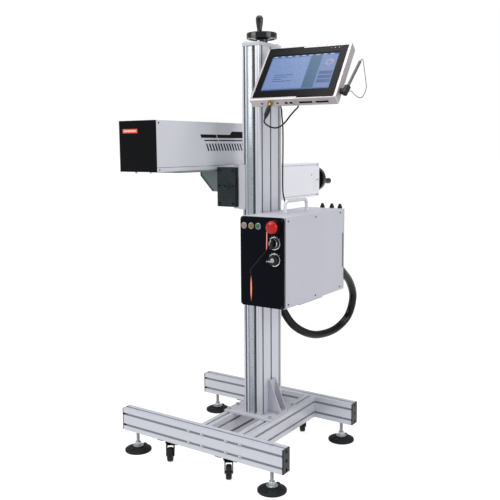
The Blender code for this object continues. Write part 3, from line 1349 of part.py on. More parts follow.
def make_tether():
    """From the stylus's end, in a loop, to the side of its holder."""
    top = stylus_point(0.004 + 2 * SEAT + STYLUS_LENGTH)
    last = Vector(TETHER_ROUTE[-1])
    up_holder = (last.z - STYLUS_BASE_Z) * math.tan(STYLUS_LEAN)
    holder_side = DISPLAY_WIDTH + STYLUS_OFFSET_X + up_holder + STYLUS_HOLDER_RADIUS / math.cos(STYLUS_LEAN)
    end = (holder_side + 2 * SEAT, last.y, last.z)
    return tube("stylus_tether", [top, *TETHER_ROUTE, end], TETHER_RADIUS, BLACK_RUBBER)


def make_down_cable(stand):
    """From the back of the display bracket's arm, down the column's side to the control box's lid."""
    axis = display_point(*hinge_in_case())
    first, last = DOWN_ROUTE[0], DOWN_ROUTE[-1]
    start = (first[0], axis.y + DISPLAY_ARM_WIDTH / 2 + SEAT, first[2])
    end = (last[0], last[1], BOX_TOP_Z + SEAT)
    hang(stand, tube("display_down_cable", [start, *DOWN_ROUTE, end], CABLE_RADIUS, BLACK_RUBBER))


# ---------------------------------------------------------------- assembly


def stand_on_origin(stand):
    """Puts the origin on the floor under the middle of the machine's box, leaving the cords out."""
    bpy.context.view_layer.update()
    graph = bpy.context.evaluated_depsgraph_get()
    places = []
    for obj in PARTS.objects:
        if obj.type == "MESH" and obj.name != "display_plug":
            evaluated = obj.evaluated_get(graph)
            places += [evaluated.matrix_world @ vertex.co for vertex in evaluated.data.vertices]
    xs, ys = [place.x for place in places], [place.y for place in places]
    stand.location = (-(min(xs) + max(xs)) / 2, -(min(ys) + max(ys)) / 2, 0.0)


def main():
    stand = body("stand", (0, 0, 0))
    make_rails(stand)
    make_beams(stand)
    for place, x, y in foot_places():
        make_foot(place, x, y, stand)
    make_casters(stand)
    make_column(stand)
    make_lift_drive(stand)
    carriage = make_carriage(stand)
    make_arm(carriage)
    make_arm_drive(carriage)
    make_head(carriage)
    make_control_box(stand)
    make_hose(stand)
    make_display(stand)
    make_down_cable(stand)
    stand_on_origin(stand)


main()
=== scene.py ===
"""Looks, camera and light for the laser coding machine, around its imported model.

Places are written in the machine's own room: X along the base rails from their left end, Y from the front
rail's front face towards the back, Z up from the floor, in metres. at() turns them into the frame.
"""

import json
import math
from itertools import product

import bmesh
import bpy
from mathutils import Euler, Matrix, Vector

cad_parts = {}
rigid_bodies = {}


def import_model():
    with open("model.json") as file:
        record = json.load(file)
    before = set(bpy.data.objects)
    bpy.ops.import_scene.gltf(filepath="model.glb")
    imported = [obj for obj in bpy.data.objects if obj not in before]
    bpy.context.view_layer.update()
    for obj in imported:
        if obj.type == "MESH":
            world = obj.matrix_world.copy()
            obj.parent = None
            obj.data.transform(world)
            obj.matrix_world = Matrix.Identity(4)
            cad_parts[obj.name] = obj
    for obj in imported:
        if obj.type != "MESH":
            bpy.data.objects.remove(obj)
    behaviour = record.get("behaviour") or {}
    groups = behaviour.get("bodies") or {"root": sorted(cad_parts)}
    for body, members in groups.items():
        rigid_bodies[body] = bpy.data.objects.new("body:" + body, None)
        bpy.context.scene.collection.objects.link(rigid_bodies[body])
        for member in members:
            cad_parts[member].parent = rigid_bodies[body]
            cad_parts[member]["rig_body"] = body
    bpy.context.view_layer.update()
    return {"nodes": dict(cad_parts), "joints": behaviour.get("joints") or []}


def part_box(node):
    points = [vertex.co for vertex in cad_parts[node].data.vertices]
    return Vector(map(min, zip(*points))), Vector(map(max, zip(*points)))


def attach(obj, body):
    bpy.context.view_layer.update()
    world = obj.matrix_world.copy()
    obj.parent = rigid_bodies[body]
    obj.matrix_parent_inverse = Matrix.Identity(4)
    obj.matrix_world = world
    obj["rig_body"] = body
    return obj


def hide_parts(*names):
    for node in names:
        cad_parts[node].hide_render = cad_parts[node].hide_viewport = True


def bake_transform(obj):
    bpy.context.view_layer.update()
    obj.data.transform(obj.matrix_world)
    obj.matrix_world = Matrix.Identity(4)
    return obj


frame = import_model()
NODES = frame["nodes"]
JOINTS = {joint["name"]: joint for joint in frame["joints"]}
CORNERS = ("front_left", "front_right", "rear_left", "rear_right")
HOME = Vector((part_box("rail_cap_front_left")[0].x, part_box("rail_front")[0].y, 0.0))

SKIN = 0.0003  # how far a thin mark stands off the surface under it
GAP = 0.0002  # between a detail and the piece it sits on

# Camera: the lens and the sensor are in mm
LENS = 51.65
SENSOR = 36.0
CAMERA_PLACE = (1.778, -1.797, 1.079)
CAMERA_AZIMUTH = math.radians(34.15)
CAMERA_PITCH = math.radians(8.1)
CAMERA_ROLL = math.radians(-0.4)
CAMERA_SHIFT = (0.0012, 0.0002)
FLOOR_REACH = 60.0
FLOOR_UNDER = 0.0002  # how far the floor lies under the feet

# Display, in its own frame: right, back and up from its lower left front corner
DISPLAY_TILT = math.radians(38.1)
DISPLAY_SWIVEL = math.radians(5.3)
DISPLAY_HINGE = (0.144, 0.0635, 0.100)

STYLUS_LEAN = math.radians(8.8)
STYLUS_FOOT = (0.3035, 0.01675, 0.026)
PLUG_PLACE = (0.0685, 0.01675)
SCREEN_FRONT = 0.0021

# Faces of the machine that details sit on, in its own room
RAIL_LENGTH = 0.680
RAIL_FRONTS = (0.0, 0.482)
RAIL_MIDDLE = 0.020
COLUMN_FRONT = 0.194
COLUMN_SLOT_ENDS = (0.1640, 1.4070)
HANDWHEEL_RISE = 0.0203  # from the plate under a handwheel to the cap on its hub
LIFT_AXIS = (0.437, 0.2615)
ARM_SIDE = 0.3709
ARM_REAR = 0.787
ARM_AXIS = (0.3329, 0.9515)
ARM_SCREWS = (0.3045, 0.3613)
HEAD_SIDE, HEAD_FAR_SIDE, HEAD_REAR = 0.278, 0.128, 0.500
PANEL_Y = 0.073
SWITCH_X = 0.604
STOP_Z, SELECTOR_Z, KEY_Z = 0.836, 0.785, 0.733
BOX_SIDE, BOX_REAR, BOX_TOP = 0.6375, 0.483, 0.865

# Cords: half their thickness, then their routes, the same as in part.py
HOSE_RADIUS, CABLE_RADIUS, TETHER_RADIUS = 0.015, 0.0025, 0.001
HOSE_ROUTE = (
    (0.574, 0.560, 0.640),
    (0.572, 0.617, 0.607),
    (0.568, 0.677, 0.562),
    (0.560, 0.722, 0.497),
    (0.545, 0.712, 0.422),
    (0.525, 0.647, 0.380),
    (0.505, 0.556, 0.374),
    (0.488, 0.480, 0.394),
    (0.468, 0.416, 0.436),
    (0.450, 0.376, 0.496),
)
LOOP_ROUTE = (
    (0.0685, 0.017, -0.067),
    (0.0700, 0.018, -0.0735),
    (0.078, 0.019, -0.081),
    (0.092, 0.023, -0.088),
    (0.108, 0.028, -0.0885),
    (0.120, 0.033, -0.079),
    (0.128, 0.040, -0.055),
    (0.132, 0.047, -0.026),
    (0.137, 0.054, 0.000),
    (0.142, 0.057, 0.016),
    (0.146, 0.046, 0.026),
)
DOWN_ROUTE = (
    (0.500, 0.228, 1.230),
    (0.496, 0.250, 1.232),
    (0.487, 0.290, 1.226),
    (0.481, 0.314, 1.209),
    (0.479, 0.321, 1.186),
    (0.480, 0.325, 1.150),
    (0.480, 0.326, 1.080),
    (0.479, 0.326, 1.000),
    (0.479, 0.327, 0.930),
    (0.483, 0.331, 0.900),
    (0.486, 0.334, 0.882),
)
TETHER_ROUTE = (
    (0.3260, 0.017, 0.1600),
    (0.3310, 0.017, 0.1540),
    (0.3420, 0.018, 0.1220),
    (0.3560, 0.019, 0.0790),
    (0.3655, 0.020, 0.0460),
    (0.3640, 0.020, 0.0200),
    (0.3555, 0.020, 0.0095),
    (0.3390, 0.018, 0.0185),
    (0.3230, 0.017, 0.0345),
)

FRONT = Vector((0, -1, 0))
BACK = Vector((0, 1, 0))
RIGHT = Vector((1, 0, 0))
LEFT = Vector((-1, 0, 0))
UP = Vector((0, 0, 1))
DOWN = Vector((0, 0, -1))


def at(x, y, z):
    return HOME + Vector((x, y, z))


def display_frame():
    """The display's own frame as a matrix, found from the place of its tilt hinge."""
    turn = Euler((-DISPLAY_TILT, 0.0, DISPLAY_SWIVEL)).to_matrix()
    corner = Vector(JOINTS["display_tilt"]["pos_m"]) - turn @ Vector(DISPLAY_HINGE)
    return Matrix.Translation(corner) @ turn.to_4x4()


DISPLAY = display_frame()


# ---------------------------------------------------------------- materials


def srgb(text):
    """The linear colour of a #rrggbb text."""
    parts = [int(text[i : i + 2], 16) / 255 for i in (1, 3, 5)]
    return tuple(part / 12.92 if part <= 0.04045 else ((part + 0.055) / 1.055) ** 2.4 for part in parts)


class Look:
    """A material's node tree, with a short way to add a node and link its inputs."""

    def __init__(self, name):
        self.material = bpy.data.materials.new(name)
        self.material.use_nodes = True
        self.tree = self.material.node_tree
        self.shader = self.tree.nodes["Principled BSDF"]

    def link(self, value, socket):
        if isinstance(value, bpy.types.NodeSocket):
            self.tree.links.new(value, socket)
        else:
            socket.default_value = value

    def node(self, kind, inputs, output=0, **settings):
        made = self.tree.nodes.new("ShaderNode" + kind)
        for key, value in settings.items():
            setattr(made, key, value)
        for key, value in inputs.items():
            self.link(value, made.inputs[key])
        return made.outputs[output]

    def noise(self, scale, stretch=(1, 1, 1), detail=3.0):
        place = self.node("TexCoord", {}, "Object")
        place = self.node("Mapping", {"Vector": place, "Scale": stretch})
        return self.node("TexNoise", {"Vector": place, "Scale": scale, "Detail": detail}, "Fac")

    def spread(self, value, low, high, start=0.3, end=0.7):
        inputs = {"Value": value, "From Min": start, "From Max": end, "To Min": low, "To Max": high}
        return self.node("MapRange", inputs)


def surface(
    name,
    colour,
    roughness,
    metallic=0.0,
    shade=0.05,
    patch=7.0,
    grain=700.0,
    bump=0.15,
    stretch=(1, 1, 1),
    rounding=0.0008,
    wear=0.0,
    shine=0.5,
):
    """A solid colour with cloudy shade, fine grain in roughness and bump, rounded edges and edge wear."""
    look = Look(name)
    base = srgb(colour)
    cloud = look.noise(patch, stretch)
    grains = look.noise(grain, stretch, 2.0)
    factor = look.spread(cloud, 1 - shade, 1 + shade)
    tone = look.node("VectorMath", {0: base, "Scale": factor}, operation="SCALE")
    normal = look.node("Bevel", {"Radius": rounding}, samples=4)
    if wear:
        face = look.node("NewGeometry", {}, "Normal")
        turned_by = look.node("VectorMath", {0: normal, 1: face}, "Value", operation="DOT_PRODUCT")
        edge = look.spread(turned_by, wear, 0.0, 0.75, 0.97)
        rubbed = look.spread(look.noise(60.0), 0.0, 1.0, 0.42, 0.6)
        worn = look.node("Math", {0: edge, 1: rubbed}, operation="MULTIPLY")
        light = tuple(min(1.0, part * 1.5 + 0.05) for part in base)
        tone = look.node("Mix", {0: worn, 6: tone, 7: (*light, 1.0)}, 2, data_type="RGBA")
    look.link(tone, look.shader.inputs["Base Color"])
    look.link(look.spread(grains, roughness - 0.05, roughness + 0.05), look.shader.inputs["Roughness"])
    height = {"Height": grains, "Strength": bump, "Distance": 0.0004, "Normal": normal}
    look.link(look.node("Bump", height), look.shader.inputs["Normal"])
    look.shader.inputs["Metallic"].default_value = metallic
    look.shader.inputs["Specular IOR Level"].default_value = shine
    return look.material


def threaded(name, colour, axis, pitch):
    """Steel with the ridges of a screw thread across the given axis, darker in the grooves as painted
    shade.
    """
    look = Look(name)
    place = look.node("TexCoord", {}, "Object")
    ridges = {"Vector": place, "Scale": 1 / (pitch * math.tau)}
    wave = look.node("TexWave", ridges, "Fac", bands_direction=axis)
    look.link(
        look.node("Bump", {"Height": wave, "Strength": 0.9, "Distance": pitch / 2}),
        look.shader.inputs["Normal"],
    )
    # Painted shade: the colour is darkened towards the thread grooves
    tone = look.node(
        "VectorMath", {0: srgb(colour), "Scale": look.spread(wave, 0.45, 1.0, 0.1, 0.8)}, operation="SCALE"
    )
    look.link(tone, look.shader.inputs["Base Color"])
    look.link(look.spread(look.noise(90.0), 0.25, 0.42), look.shader.inputs["Roughness"])
    look.shader.inputs["Metallic"].default_value = 0.9
    return look.material


def lit(name, colour, glow, roughness=0.2):
    """A lit lens or panel: glossy, with its own even light and faint cloudiness."""
    look = Look(name)
    cloud = look.spread(look.noise(120.0), 0.9, 1.06)
    tone = look.node("VectorMath", {0: srgb(colour), "Scale": cloud}, operation="SCALE")
    base = look.node("VectorMath", {0: tone, "Scale": 0.25}, operation="SCALE")
    look.link(base, look.shader.inputs["Base Color"])
    look.link(tone, look.shader.inputs["Emission Color"])
    look.shader.inputs["Emission Strength"].default_value = glow
    look.shader.inputs["Specular IOR Level"].default_value = 0.3
    matt = look.spread(look.noise(300.0), roughness * 0.8, roughness * 1.2)
    look.link(matt, look.shader.inputs["Roughness"])
    return look.material


ALUMINIUM = surface("anodised aluminium", "#CFD0D7", 0.34, 0.25, 0.04, 5.0, 900.0, 0.10, (1, 1, 0.05))
RAIL_METAL = surface("rail aluminium", "#D2D3DB", 0.34, 0.25, 0.04, 5.0, 900.0, 0.10, (0.05, 1, 1))
# Painted shade: a dark grey sheet laid on the floors of the column's slots, where shade falls
SLOT_SHADE = surface("painted slot shade", "#383C42", 0.60, 0.0, 0.06, 9.0, 500.0, 0.08, rounding=0.0)
STRIP = surface("slot cover strip", "#7E828B", 0.50, 0.0, 0.05, 9.0, 500.0, 0.12, (0.2, 1, 1))
SILVER = surface("silver powder coat", "#C4C4CD", 0.46, 0.0, 0.03, 3.0, 1400.0, 0.22, wear=0.25)
ARM_SKIN = surface("arm silver anodised", "#F2F2F8", 0.42, 0.0, 0.02, 4.0, 900.0, 0.08, (1, 0.06, 1))
HEAD_SKIN = surface("head silver paint", "#D5D6DB", 0.40, 0.0, 0.03, 2.5, 1500.0, 0.12, wear=0.2)
DARK_CAST = surface("dark cast plate", "#253030", 0.55, 0.0, 0.14, 40.0, 600.0, 0.45, wear=0.5, shine=0.3)
GREY = surface("grey-green bracket", "#7F8B8A", 0.50, 0.15, 0.05, 10.0, 800.0, 0.25, wear=0.35)
BLACK_PAINT = surface(
    "black powder coat", "#0A0D15", 0.42, 0.0, 0.10, 5.0, 1300.0, 0.12, wear=0.3, shine=0.04
)
BLACK_GLOSS = surface("gloss black cover", "#07080A", 0.26, 0.0, 0.08, 4.0, 500.0, 0.02, shine=0.09)
BLACK_PLASTIC = surface("black moulded plastic", "#0E1012", 0.34, 0.0, 0.10, 20.0, 900.0, 0.15, shine=0.3)
BLACK_SHINY = surface(
    "polished black plastic", "#0A0B0D", 0.14, 0.0, 0.08, 20.0, 900.0, 0.03, rounding=0.004
)
BLACK_RUBBER = surface("black rubber", "#121516", 0.62, 0.0, 0.12, 25.0, 900.0, 0.35, shine=0.3)
CABLE = surface(
    "black cable sheath", "#050607", 0.16, 0.0, 0.10, 30.0, 600.0, 0.04, rounding=0.0, shine=0.22
)
BRIGHT = surface("bright screw", "#D6D8DA", 0.30, 0.4, 0.05, 60.0, 900.0, 0.08, rounding=0.0003)
ZINC = surface("zinc plate", "#B9BDBC", 0.30, 0.85, 0.08, 60.0, 900.0, 0.12, rounding=0.0004)
CHROME = surface("bright chrome", "#D5D8DA", 0.14, 0.95, 0.04, 40.0, 900.0, 0.04, rounding=0.0004)
BRASS = surface("brass connector", "#9C8650", 0.32, 0.85, 0.08, 70.0, 900.0, 0.10, rounding=0.0004)
SCREW = surface("black screw", "#1B1E20", 0.36, 0.5, 0.10, 60.0, 900.0, 0.10, rounding=0.0003)
# Painted shade: near-black for the shade inside screw sockets, holes, vent slots and openings
RECESS_SHADE = surface("painted recess shade", "#060708", 0.70, 0.0, 0.15, 60.0, 900.0, 0.10, rounding=0.0, shine=0.15)
MARK = surface("white marking", "#E6E7E9", 0.50, 0.0, 0.03, 60.0, 900.0, 0.05, rounding=0.0)
INK = surface("ruler marks", "#34383C", 0.60, 0.0, 0.05, 60.0, 900.0, 0.05, rounding=0.0)
RULER = surface("ruler strip", "#A9B4B8", 0.30, 0.4, 0.04, 30.0, 900.0, 0.06, (1, 1, 0.1))
STICKER = surface("bare sticker", "#F1EFEE", 0.48, 0.0, 0.02, 20.0, 900.0, 0.06, rounding=0.0)
RED = surface("red stop button", "#B80F14", 0.26, 0.0, 0.06, 40.0, 700.0, 0.05, rounding=0.003, shine=0.35)
CASE = surface("brushed case", "#BEB6B8", 0.38, 0.60, 0.06, 8.0, 500.0, 0.18, (0.03, 1, 1))
PEN = surface("dark satin pen", "#55555B", 0.25, 0.6, 0.06, 40.0, 700.0, 0.05)
HANDLE = surface("silver handle", "#E4E4E8", 0.28, 0.3, 0.04, 40.0, 900.0, 0.05)
SEAM = surface("shadow line", "#6E7176", 0.60, 0.0, 0.05, 60.0, 900.0, 0.05, rounding=0.0)
DARK_HUB = surface("grey wheel hub", "#3A3E40", 0.50, 0.0, 0.08, 30.0, 800.0, 0.20)
# Painted shade: a darker copy of the grey-green bracket paint for its edge
BRACKET_EDGE_SHADE = surface("painted bracket edge shade", "#4C5554", 0.50, 0.15, 0.05, 10.0, 800.0, 0.25)
GROOVE = surface("panel groove", "#2A2E33", 0.35, 0.0, 0.05, 60.0, 900.0, 0.05, rounding=0.0)
LIFT_THREAD = threaded("lift screw thread", "#AEB2B2", "Z", 0.003)
ARM_THREAD = threaded("arm screw thread", "#AEB2B2", "Y", 0.003)
LAMP_WHITE = lit("white lamp lens", "#E3AFA8", 0.20)
LAMP_YELLOW = lit("yellow lamp lens", "#B99A3A", 0.22)
LAMP_GREEN = lit("green lamp lens", "#3F9E86", 0.20)
LIT_RED = lit("red light strip", "#E8584A", 0.80)
LIT_PALE = lit("pale light strip", "#FFC8AE", 0.72)
LIT_ORANGE = lit("orange light strip", "#D96F28", 0.75)
LED_RED = lit("red led", "#E0383C", 0.45)
LED_AMBER = lit("amber led", "#E8A94A", 0.45)
LED_GREEN = lit("green led", "#5FBF6A", 0.45)
PAGE_BLUE = lit("screen background", "#6A88BE", 0.52, 0.25)
PAGE_PALE = lit("screen pale panel", "#7B95C8", 0.55, 0.25)
PAGE_BAR = lit("screen bars", "#46639A", 0.42, 0.25)
PAGE_STRIP = lit("screen dark strip", "#34658C", 0.50, 0.25)
PAGE_LINE = lit("screen lines", "#3C558E", 0.40, 0.25)
PAGE_WHITE = lit("screen white marks", "#B9C6E6", 0.75, 0.25)


# ---------------------------------------------------------------- shape tools


def towards(direction):
    """The rotation that turns +Z to this direction."""
    return UP.rotation_difference(Vector(direction).normalized()).to_matrix().to_4x4()


def ring_rows(bm, profile, steps):
    """One row of points round the Z axis for each (radius, height) of the profile."""
    angles = [math.tau * step / steps for step in range(steps)]
    rows = []
    for radius, height in profile:
        points = [(radius * math.cos(angle), radius * math.sin(angle), height) for angle in angles]
        rows.append([bm.verts.new(point) for point in points])
    return rows


def join_rows(bm, pairs):
    """Faces between each pair of rows, all the way round."""
    for low, high in pairs:
        for step in range(len(low)):
            after = (step + 1) % len(low)
            bm.faces.new((low[step], low[after], high[after], high[step]))


class Piece:
    """One visible piece, put together from small shapes that each take one of its materials."""

    def __init__(self, name, *materials):
        self.name = name
        self.materials = materials
        self.bm = bmesh.new()

    def take(self, bm, material, matrix=None):
        if matrix is not None:
            bmesh.ops.transform(bm, matrix=matrix, verts=bm.verts)
        for face in bm.faces:
            face.material_index = material
            face.smooth = True
        bmesh.ops.recalc_face_normals(bm, faces=bm.faces)
        mesh = bpy.data.meshes.new("shape")
        bm.to_mesh(mesh)
        bm.free()
        self.bm.from_mesh(mesh)
        bpy.data.meshes.remove(mesh)

    def box(self, low, high, material=0, edge=0.0005, matrix=None):
        """A block between two corners, with rounded edges."""
        low, high = Vector(low), Vector(high)
        bm = bmesh.new()
        bmesh.ops.create_cube(bm, size=1.0)
        bmesh.ops.scale(bm, vec=high - low, verts=bm.verts)
        bmesh.ops.translate(bm, vec=(low + high) / 2, verts=bm.verts)
        edge = min(edge, 0.3 * min(abs(side) for side in high - low))
        if edge > 0.00002:
            bmesh.ops.bevel(bm, geom=bm.edges[:], offset=edge, segments=2, profile=0.5, affect="EDGES")
        self.take(bm, material, matrix)

    def turned(self, profile, base, direction, material=0, steps=32):
        """A round shape from a list of (radius, height) along the direction, closed at both ends."""
        bm = bmesh.new()
        rings = ring_rows(bm, profile, steps)
        join_rows(bm, zip(rings, rings[1:]))
        bm.faces.new(rings[0][::-1])
        bm.faces.new(rings[-1])
        bmesh.ops.remove_doubles(bm, verts=bm.verts, dist=1e-7)
        self.take(bm, material, Matrix.Translation(base) @ towards(direction))

    def plate(self, outline, thickness, matrix, material=0):
        """A flat outline, drawn in the matrix's XY plane and thickened towards its +Z."""
        bm = bmesh.new()
        low = [bm.verts.new((x, y, 0.0)) for x, y in outline]
        high = [bm.verts.new((x, y, thickness)) for x, y in outline]
        bm.faces.new(low[::-1])
        bm.faces.new(high)
        for here, after in zip(range(len(outline)), [*range(1, len(outline)), 0]):
            bm.faces.new((low[here], low[after], high[after], high[here]))
        self.take(bm, material, matrix)

    def ring(self, inner, outer, height, base, direction, material=0, steps=36):
        """A washer or bezel with a small rounding on its outer edge."""
        edge = min(0.0006, height * 0.3, (outer - inner) * 0.3)
        profile = [(inner, 0), (outer, 0), (outer, height - edge), (outer - edge, height), (inner, height)]
        bm = bmesh.new()
        rings = ring_rows(bm, profile, steps)
        join_rows(bm, zip(rings, [*rings[1:], rings[0]]))
        self.take(bm, material, Matrix.Translation(base) @ towards(direction))

    def cap_screw(self, place, direction, radius, material=0, socket=1):
        """A round screw head with a socket in it, whose bottom is a flat disc of painted shade."""
        high = radius * 0.9
        head = [(radius, 0), (radius, high * 0.75), (radius * 0.9, high), (radius * 0.52, high)]
        hole = [(radius * 0.5, high * 0.35), (0.0, high * 0.35)]
        self.turned([*head, *hole], place, direction, material, 20)
        # The disc at the bottom of the socket is painted shade
        bottom = Vector(place) + Vector(direction) * (high * 0.35 + 0.00005)
        self.turned([(radius * 0.48, 0), (radius * 0.48, 0.0001)], bottom, direction, socket, 6)

    def ride(self, body):
        mesh = bpy.data.meshes.new(self.name)
        self.bm.to_mesh(mesh)
        self.bm.free()
        for material in self.materials:
            mesh.materials.append(material)
        mesh.shade_smooth()
        mesh.set_sharp_from_angle(angle=math.radians(35))
        obj = bpy.data.objects.new(self.name, mesh)
        bpy.context.scene.collection.objects.link(obj)
        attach(obj, body)
        return obj


def side_frame(x, y, z, direction):
    """A frame on a wall: its X runs to the viewer's right, its Y up, and its Z out of the wall."""
    out = Vector(direction)
    across = UP.cross(out)
    matrix = Matrix((across, UP, out)).transposed().to_4x4()
    matrix.translation = at(x, y, z)
    return matrix


def smooth_way(points, sections=3):
    """Points on the Catmull-Rom curve through the given ones, with a straight piece at each end."""
    way = [points[0]]
    for a, b, c, d in zip(points, points[1:], points[2:], points[3:]):
        for step in range(sections):
            t = step / sections
            curve = (2 * a - 5 * b + 4 * c - d) * t**2 + (3 * b - a - 3 * c + d) * t**3
            way.append(0.5 * (2 * b + (c - a) * t + curve))
    return way + points[-2:]


def as_mesh(obj):
    """The same object with the curve's surface as its mesh."""
    mesh = bpy.data.meshes.new_from_object(obj.evaluated_get(bpy.context.evaluated_depsgraph_get()))
    made = bpy.data.objects.new(obj.name, mesh)
    bpy.data.objects.remove(obj)
    bpy.context.scene.collection.objects.link(made)
    return made


def cord_piece(name, node, points, radius, body):
    """A cord along the node's own route, which stands for the node. It returns the piece and its points."""
    curve = bpy.data.curves.new(name, "CURVE")
    curve.dimensions = "3D"
    curve.bevel_depth = radius
    curve.bevel_resolution = 5
    curve.use_fill_caps = True
    way = smooth_way([Vector(point) for point in points], 4)
    spline = curve.splines.new("POLY")
    spline.points.add(len(way) - 1)
    for point, place in zip(spline.points, way):
        point.co = (*place, 1.0)
    spline.use_smooth = True
    curve.materials.append(CABLE)
    obj = bpy.data.objects.new(name, curve)
    bpy.context.scene.collection.objects.link(obj)
    if body:
        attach(obj, body)
    else:
        obj = as_mesh(obj)
    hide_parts(node)
    return obj, way


# ---------------------------------------------------------------- looks of the CAD nodes

# Each material, and the starts of the names of the nodes that have it
NODE_LOOKS = (
    (RAIL_METAL, ("rail_front", "rail_rear")),
    (BLACK_PLASTIC, ("rail_cap", "key_switch", "selector_switch", "hose_inlet", "display_plug")),
    (ALUMINIUM, ("cross_beam", "column_profile", "lift_carriage", "head_slider")),
    (
        SILVER,
        ("base_plate", "base_gusset", "column_top_plate", "control_box_housing", "control_box_bracket"),
    ),
    (BLACK_RUBBER, ("foot", "caster_wheel")),
    (BLACK_PAINT, ("caster_fork", "control_panel", "control_box_rear")),
    (LIFT_THREAD, ("lift_screw",)),
    (BLACK_SHINY, ("lift_handwheel", "lift_knob", "arm_handwheel", "arm_knob")),
    (ARM_SKIN, ("arm_profile", "arm_rear_plate")),
    (DARK_CAST, ("arm_front_plate",)),
    (ARM_THREAD, ("arm_screw",)),
    (GREY, ("head_bracket", "display_bracket", "display_yoke")),
    (HEAD_SKIN, ("head_housing",)),
    (BLACK_GLOSS, ("head_front_cover", "display_bezel")),
    (HANDLE, ("control_box_handle",)),
    (RED, ("emergency_stop",)),
    (CASE, ("display_case",)),
    (PAGE_BLUE, ("display_screen",)),
    (LIT_RED, ("head_status_window",)),
    (LAMP_WHITE, ("pilot_lamps",)),
    (PEN, ("stylus",)),
)


def dress_nodes():
    """Gives each CAD node's slots the material of the longest matching name. Its mesh stays as it is."""
    looks = {start: material for material, starts in NODE_LOOKS for start in starts}
    for name, node in NODES.items():
        start = max((start for start in looks if name.startswith(start)), key=len, default=None)
        if start:
            for place in node.material_slots:
                place.material = looks[start]


# ---------------------------------------------------------------- base

SLOT_HEIGHTS = (0.093, 0.133)
ACCESS_HOLES = (0.305, 0.362, 0.460, 0.517)


def dress_rails():
    strips = Piece("slot_cover_strips", STRIP, RECESS_SHADE)
    bolts = Piece("rail_bolts", RECESS_SHADE, BRIGHT)
    for front in RAIL_FRONTS:
        for z in SLOT_HEIGHTS:
            for y, sign in ((front, 1), (front + 0.040, -1)):
                near, far = y + sign * 0.0006, y + sign * 0.0026
                low, high = at(0.024, min(near, far), z - 0.0037), at(0.675, max(near, far), z + 0.0037)
                strips.box(low, high, 0, 0.0004)
            for x in ACCESS_HOLES:
                place = at(x, front - GAP, z)
                bolts.ring(0.0056, 0.0072, 0.0005, place, FRONT, 1)
                # A dark disc under each bolt head, showing round it, is painted shade of its access hole
                bolts.turned([(0.0052, 0), (0.0052, 0.0001)], place, FRONT, 0, 24)
                bolts.cap_screw(place + FRONT * 0.0001, FRONT, 0.0046, 1, 0)
        for height, way in ((0.153, -1), (0.073, 1)):
            near, far = height + way * 0.0006, height + way * 0.0026
            low, high = at(0.024, front + 0.0163, min(near, far)), at(0.675, front + 0.0237, max(near, far))
            strips.box(low, high, 0, 0.0004)
    strips.ride("stand")
    bolts.ride("stand")
    caps = Piece("end_cap_plugs", BLACK_PLASTIC)
    for front, z in product(RAIL_FRONTS, (0.083, 0.113, 0.143)):
        for x, way in ((0.0, LEFT), (RAIL_LENGTH, RIGHT)):
            place = at(x, front + RAIL_MIDDLE, z) - way * 0.0002
            caps.turned([(0.0052, 0), (0.0052, 0.0002)], place, way, 0, 24)
    caps.ride("stand")


def dress_base_plate():
    low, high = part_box("base_plate")
    screws = Piece("base_plate_screws", ZINC, RECESS_SHADE)
    for x, share in product((low.x + 0.010, high.x - 0.010), (0.08, 0.36, 0.64, 0.92)):
        y = low.y + share * (high.y - low.y)
        screws.ring(0.0035, 0.0075, 0.0010, (x, y, high.z + GAP), UP, 0)
        screws.cap_screw(Vector((x, y, high.z + GAP + 0.001)), UP, 0.0055, 0, 1)
    screws.ride("stand")
    foot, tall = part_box("base_gusset")
    face = (foot.x + tall.x) / 2
    bolts = Piece("gusset_bolts", ZINC, RECESS_SHADE)
    place = Vector((face, foot.y + 0.016, foot.z + 0.0065))
    bolts.ring(0.0035, 0.0080, 0.0012, place, UP, 0)
    bolts.cap_screw(place + UP * 0.0012, UP, 0.0055, 0, 1)
    bolts.ride("stand")


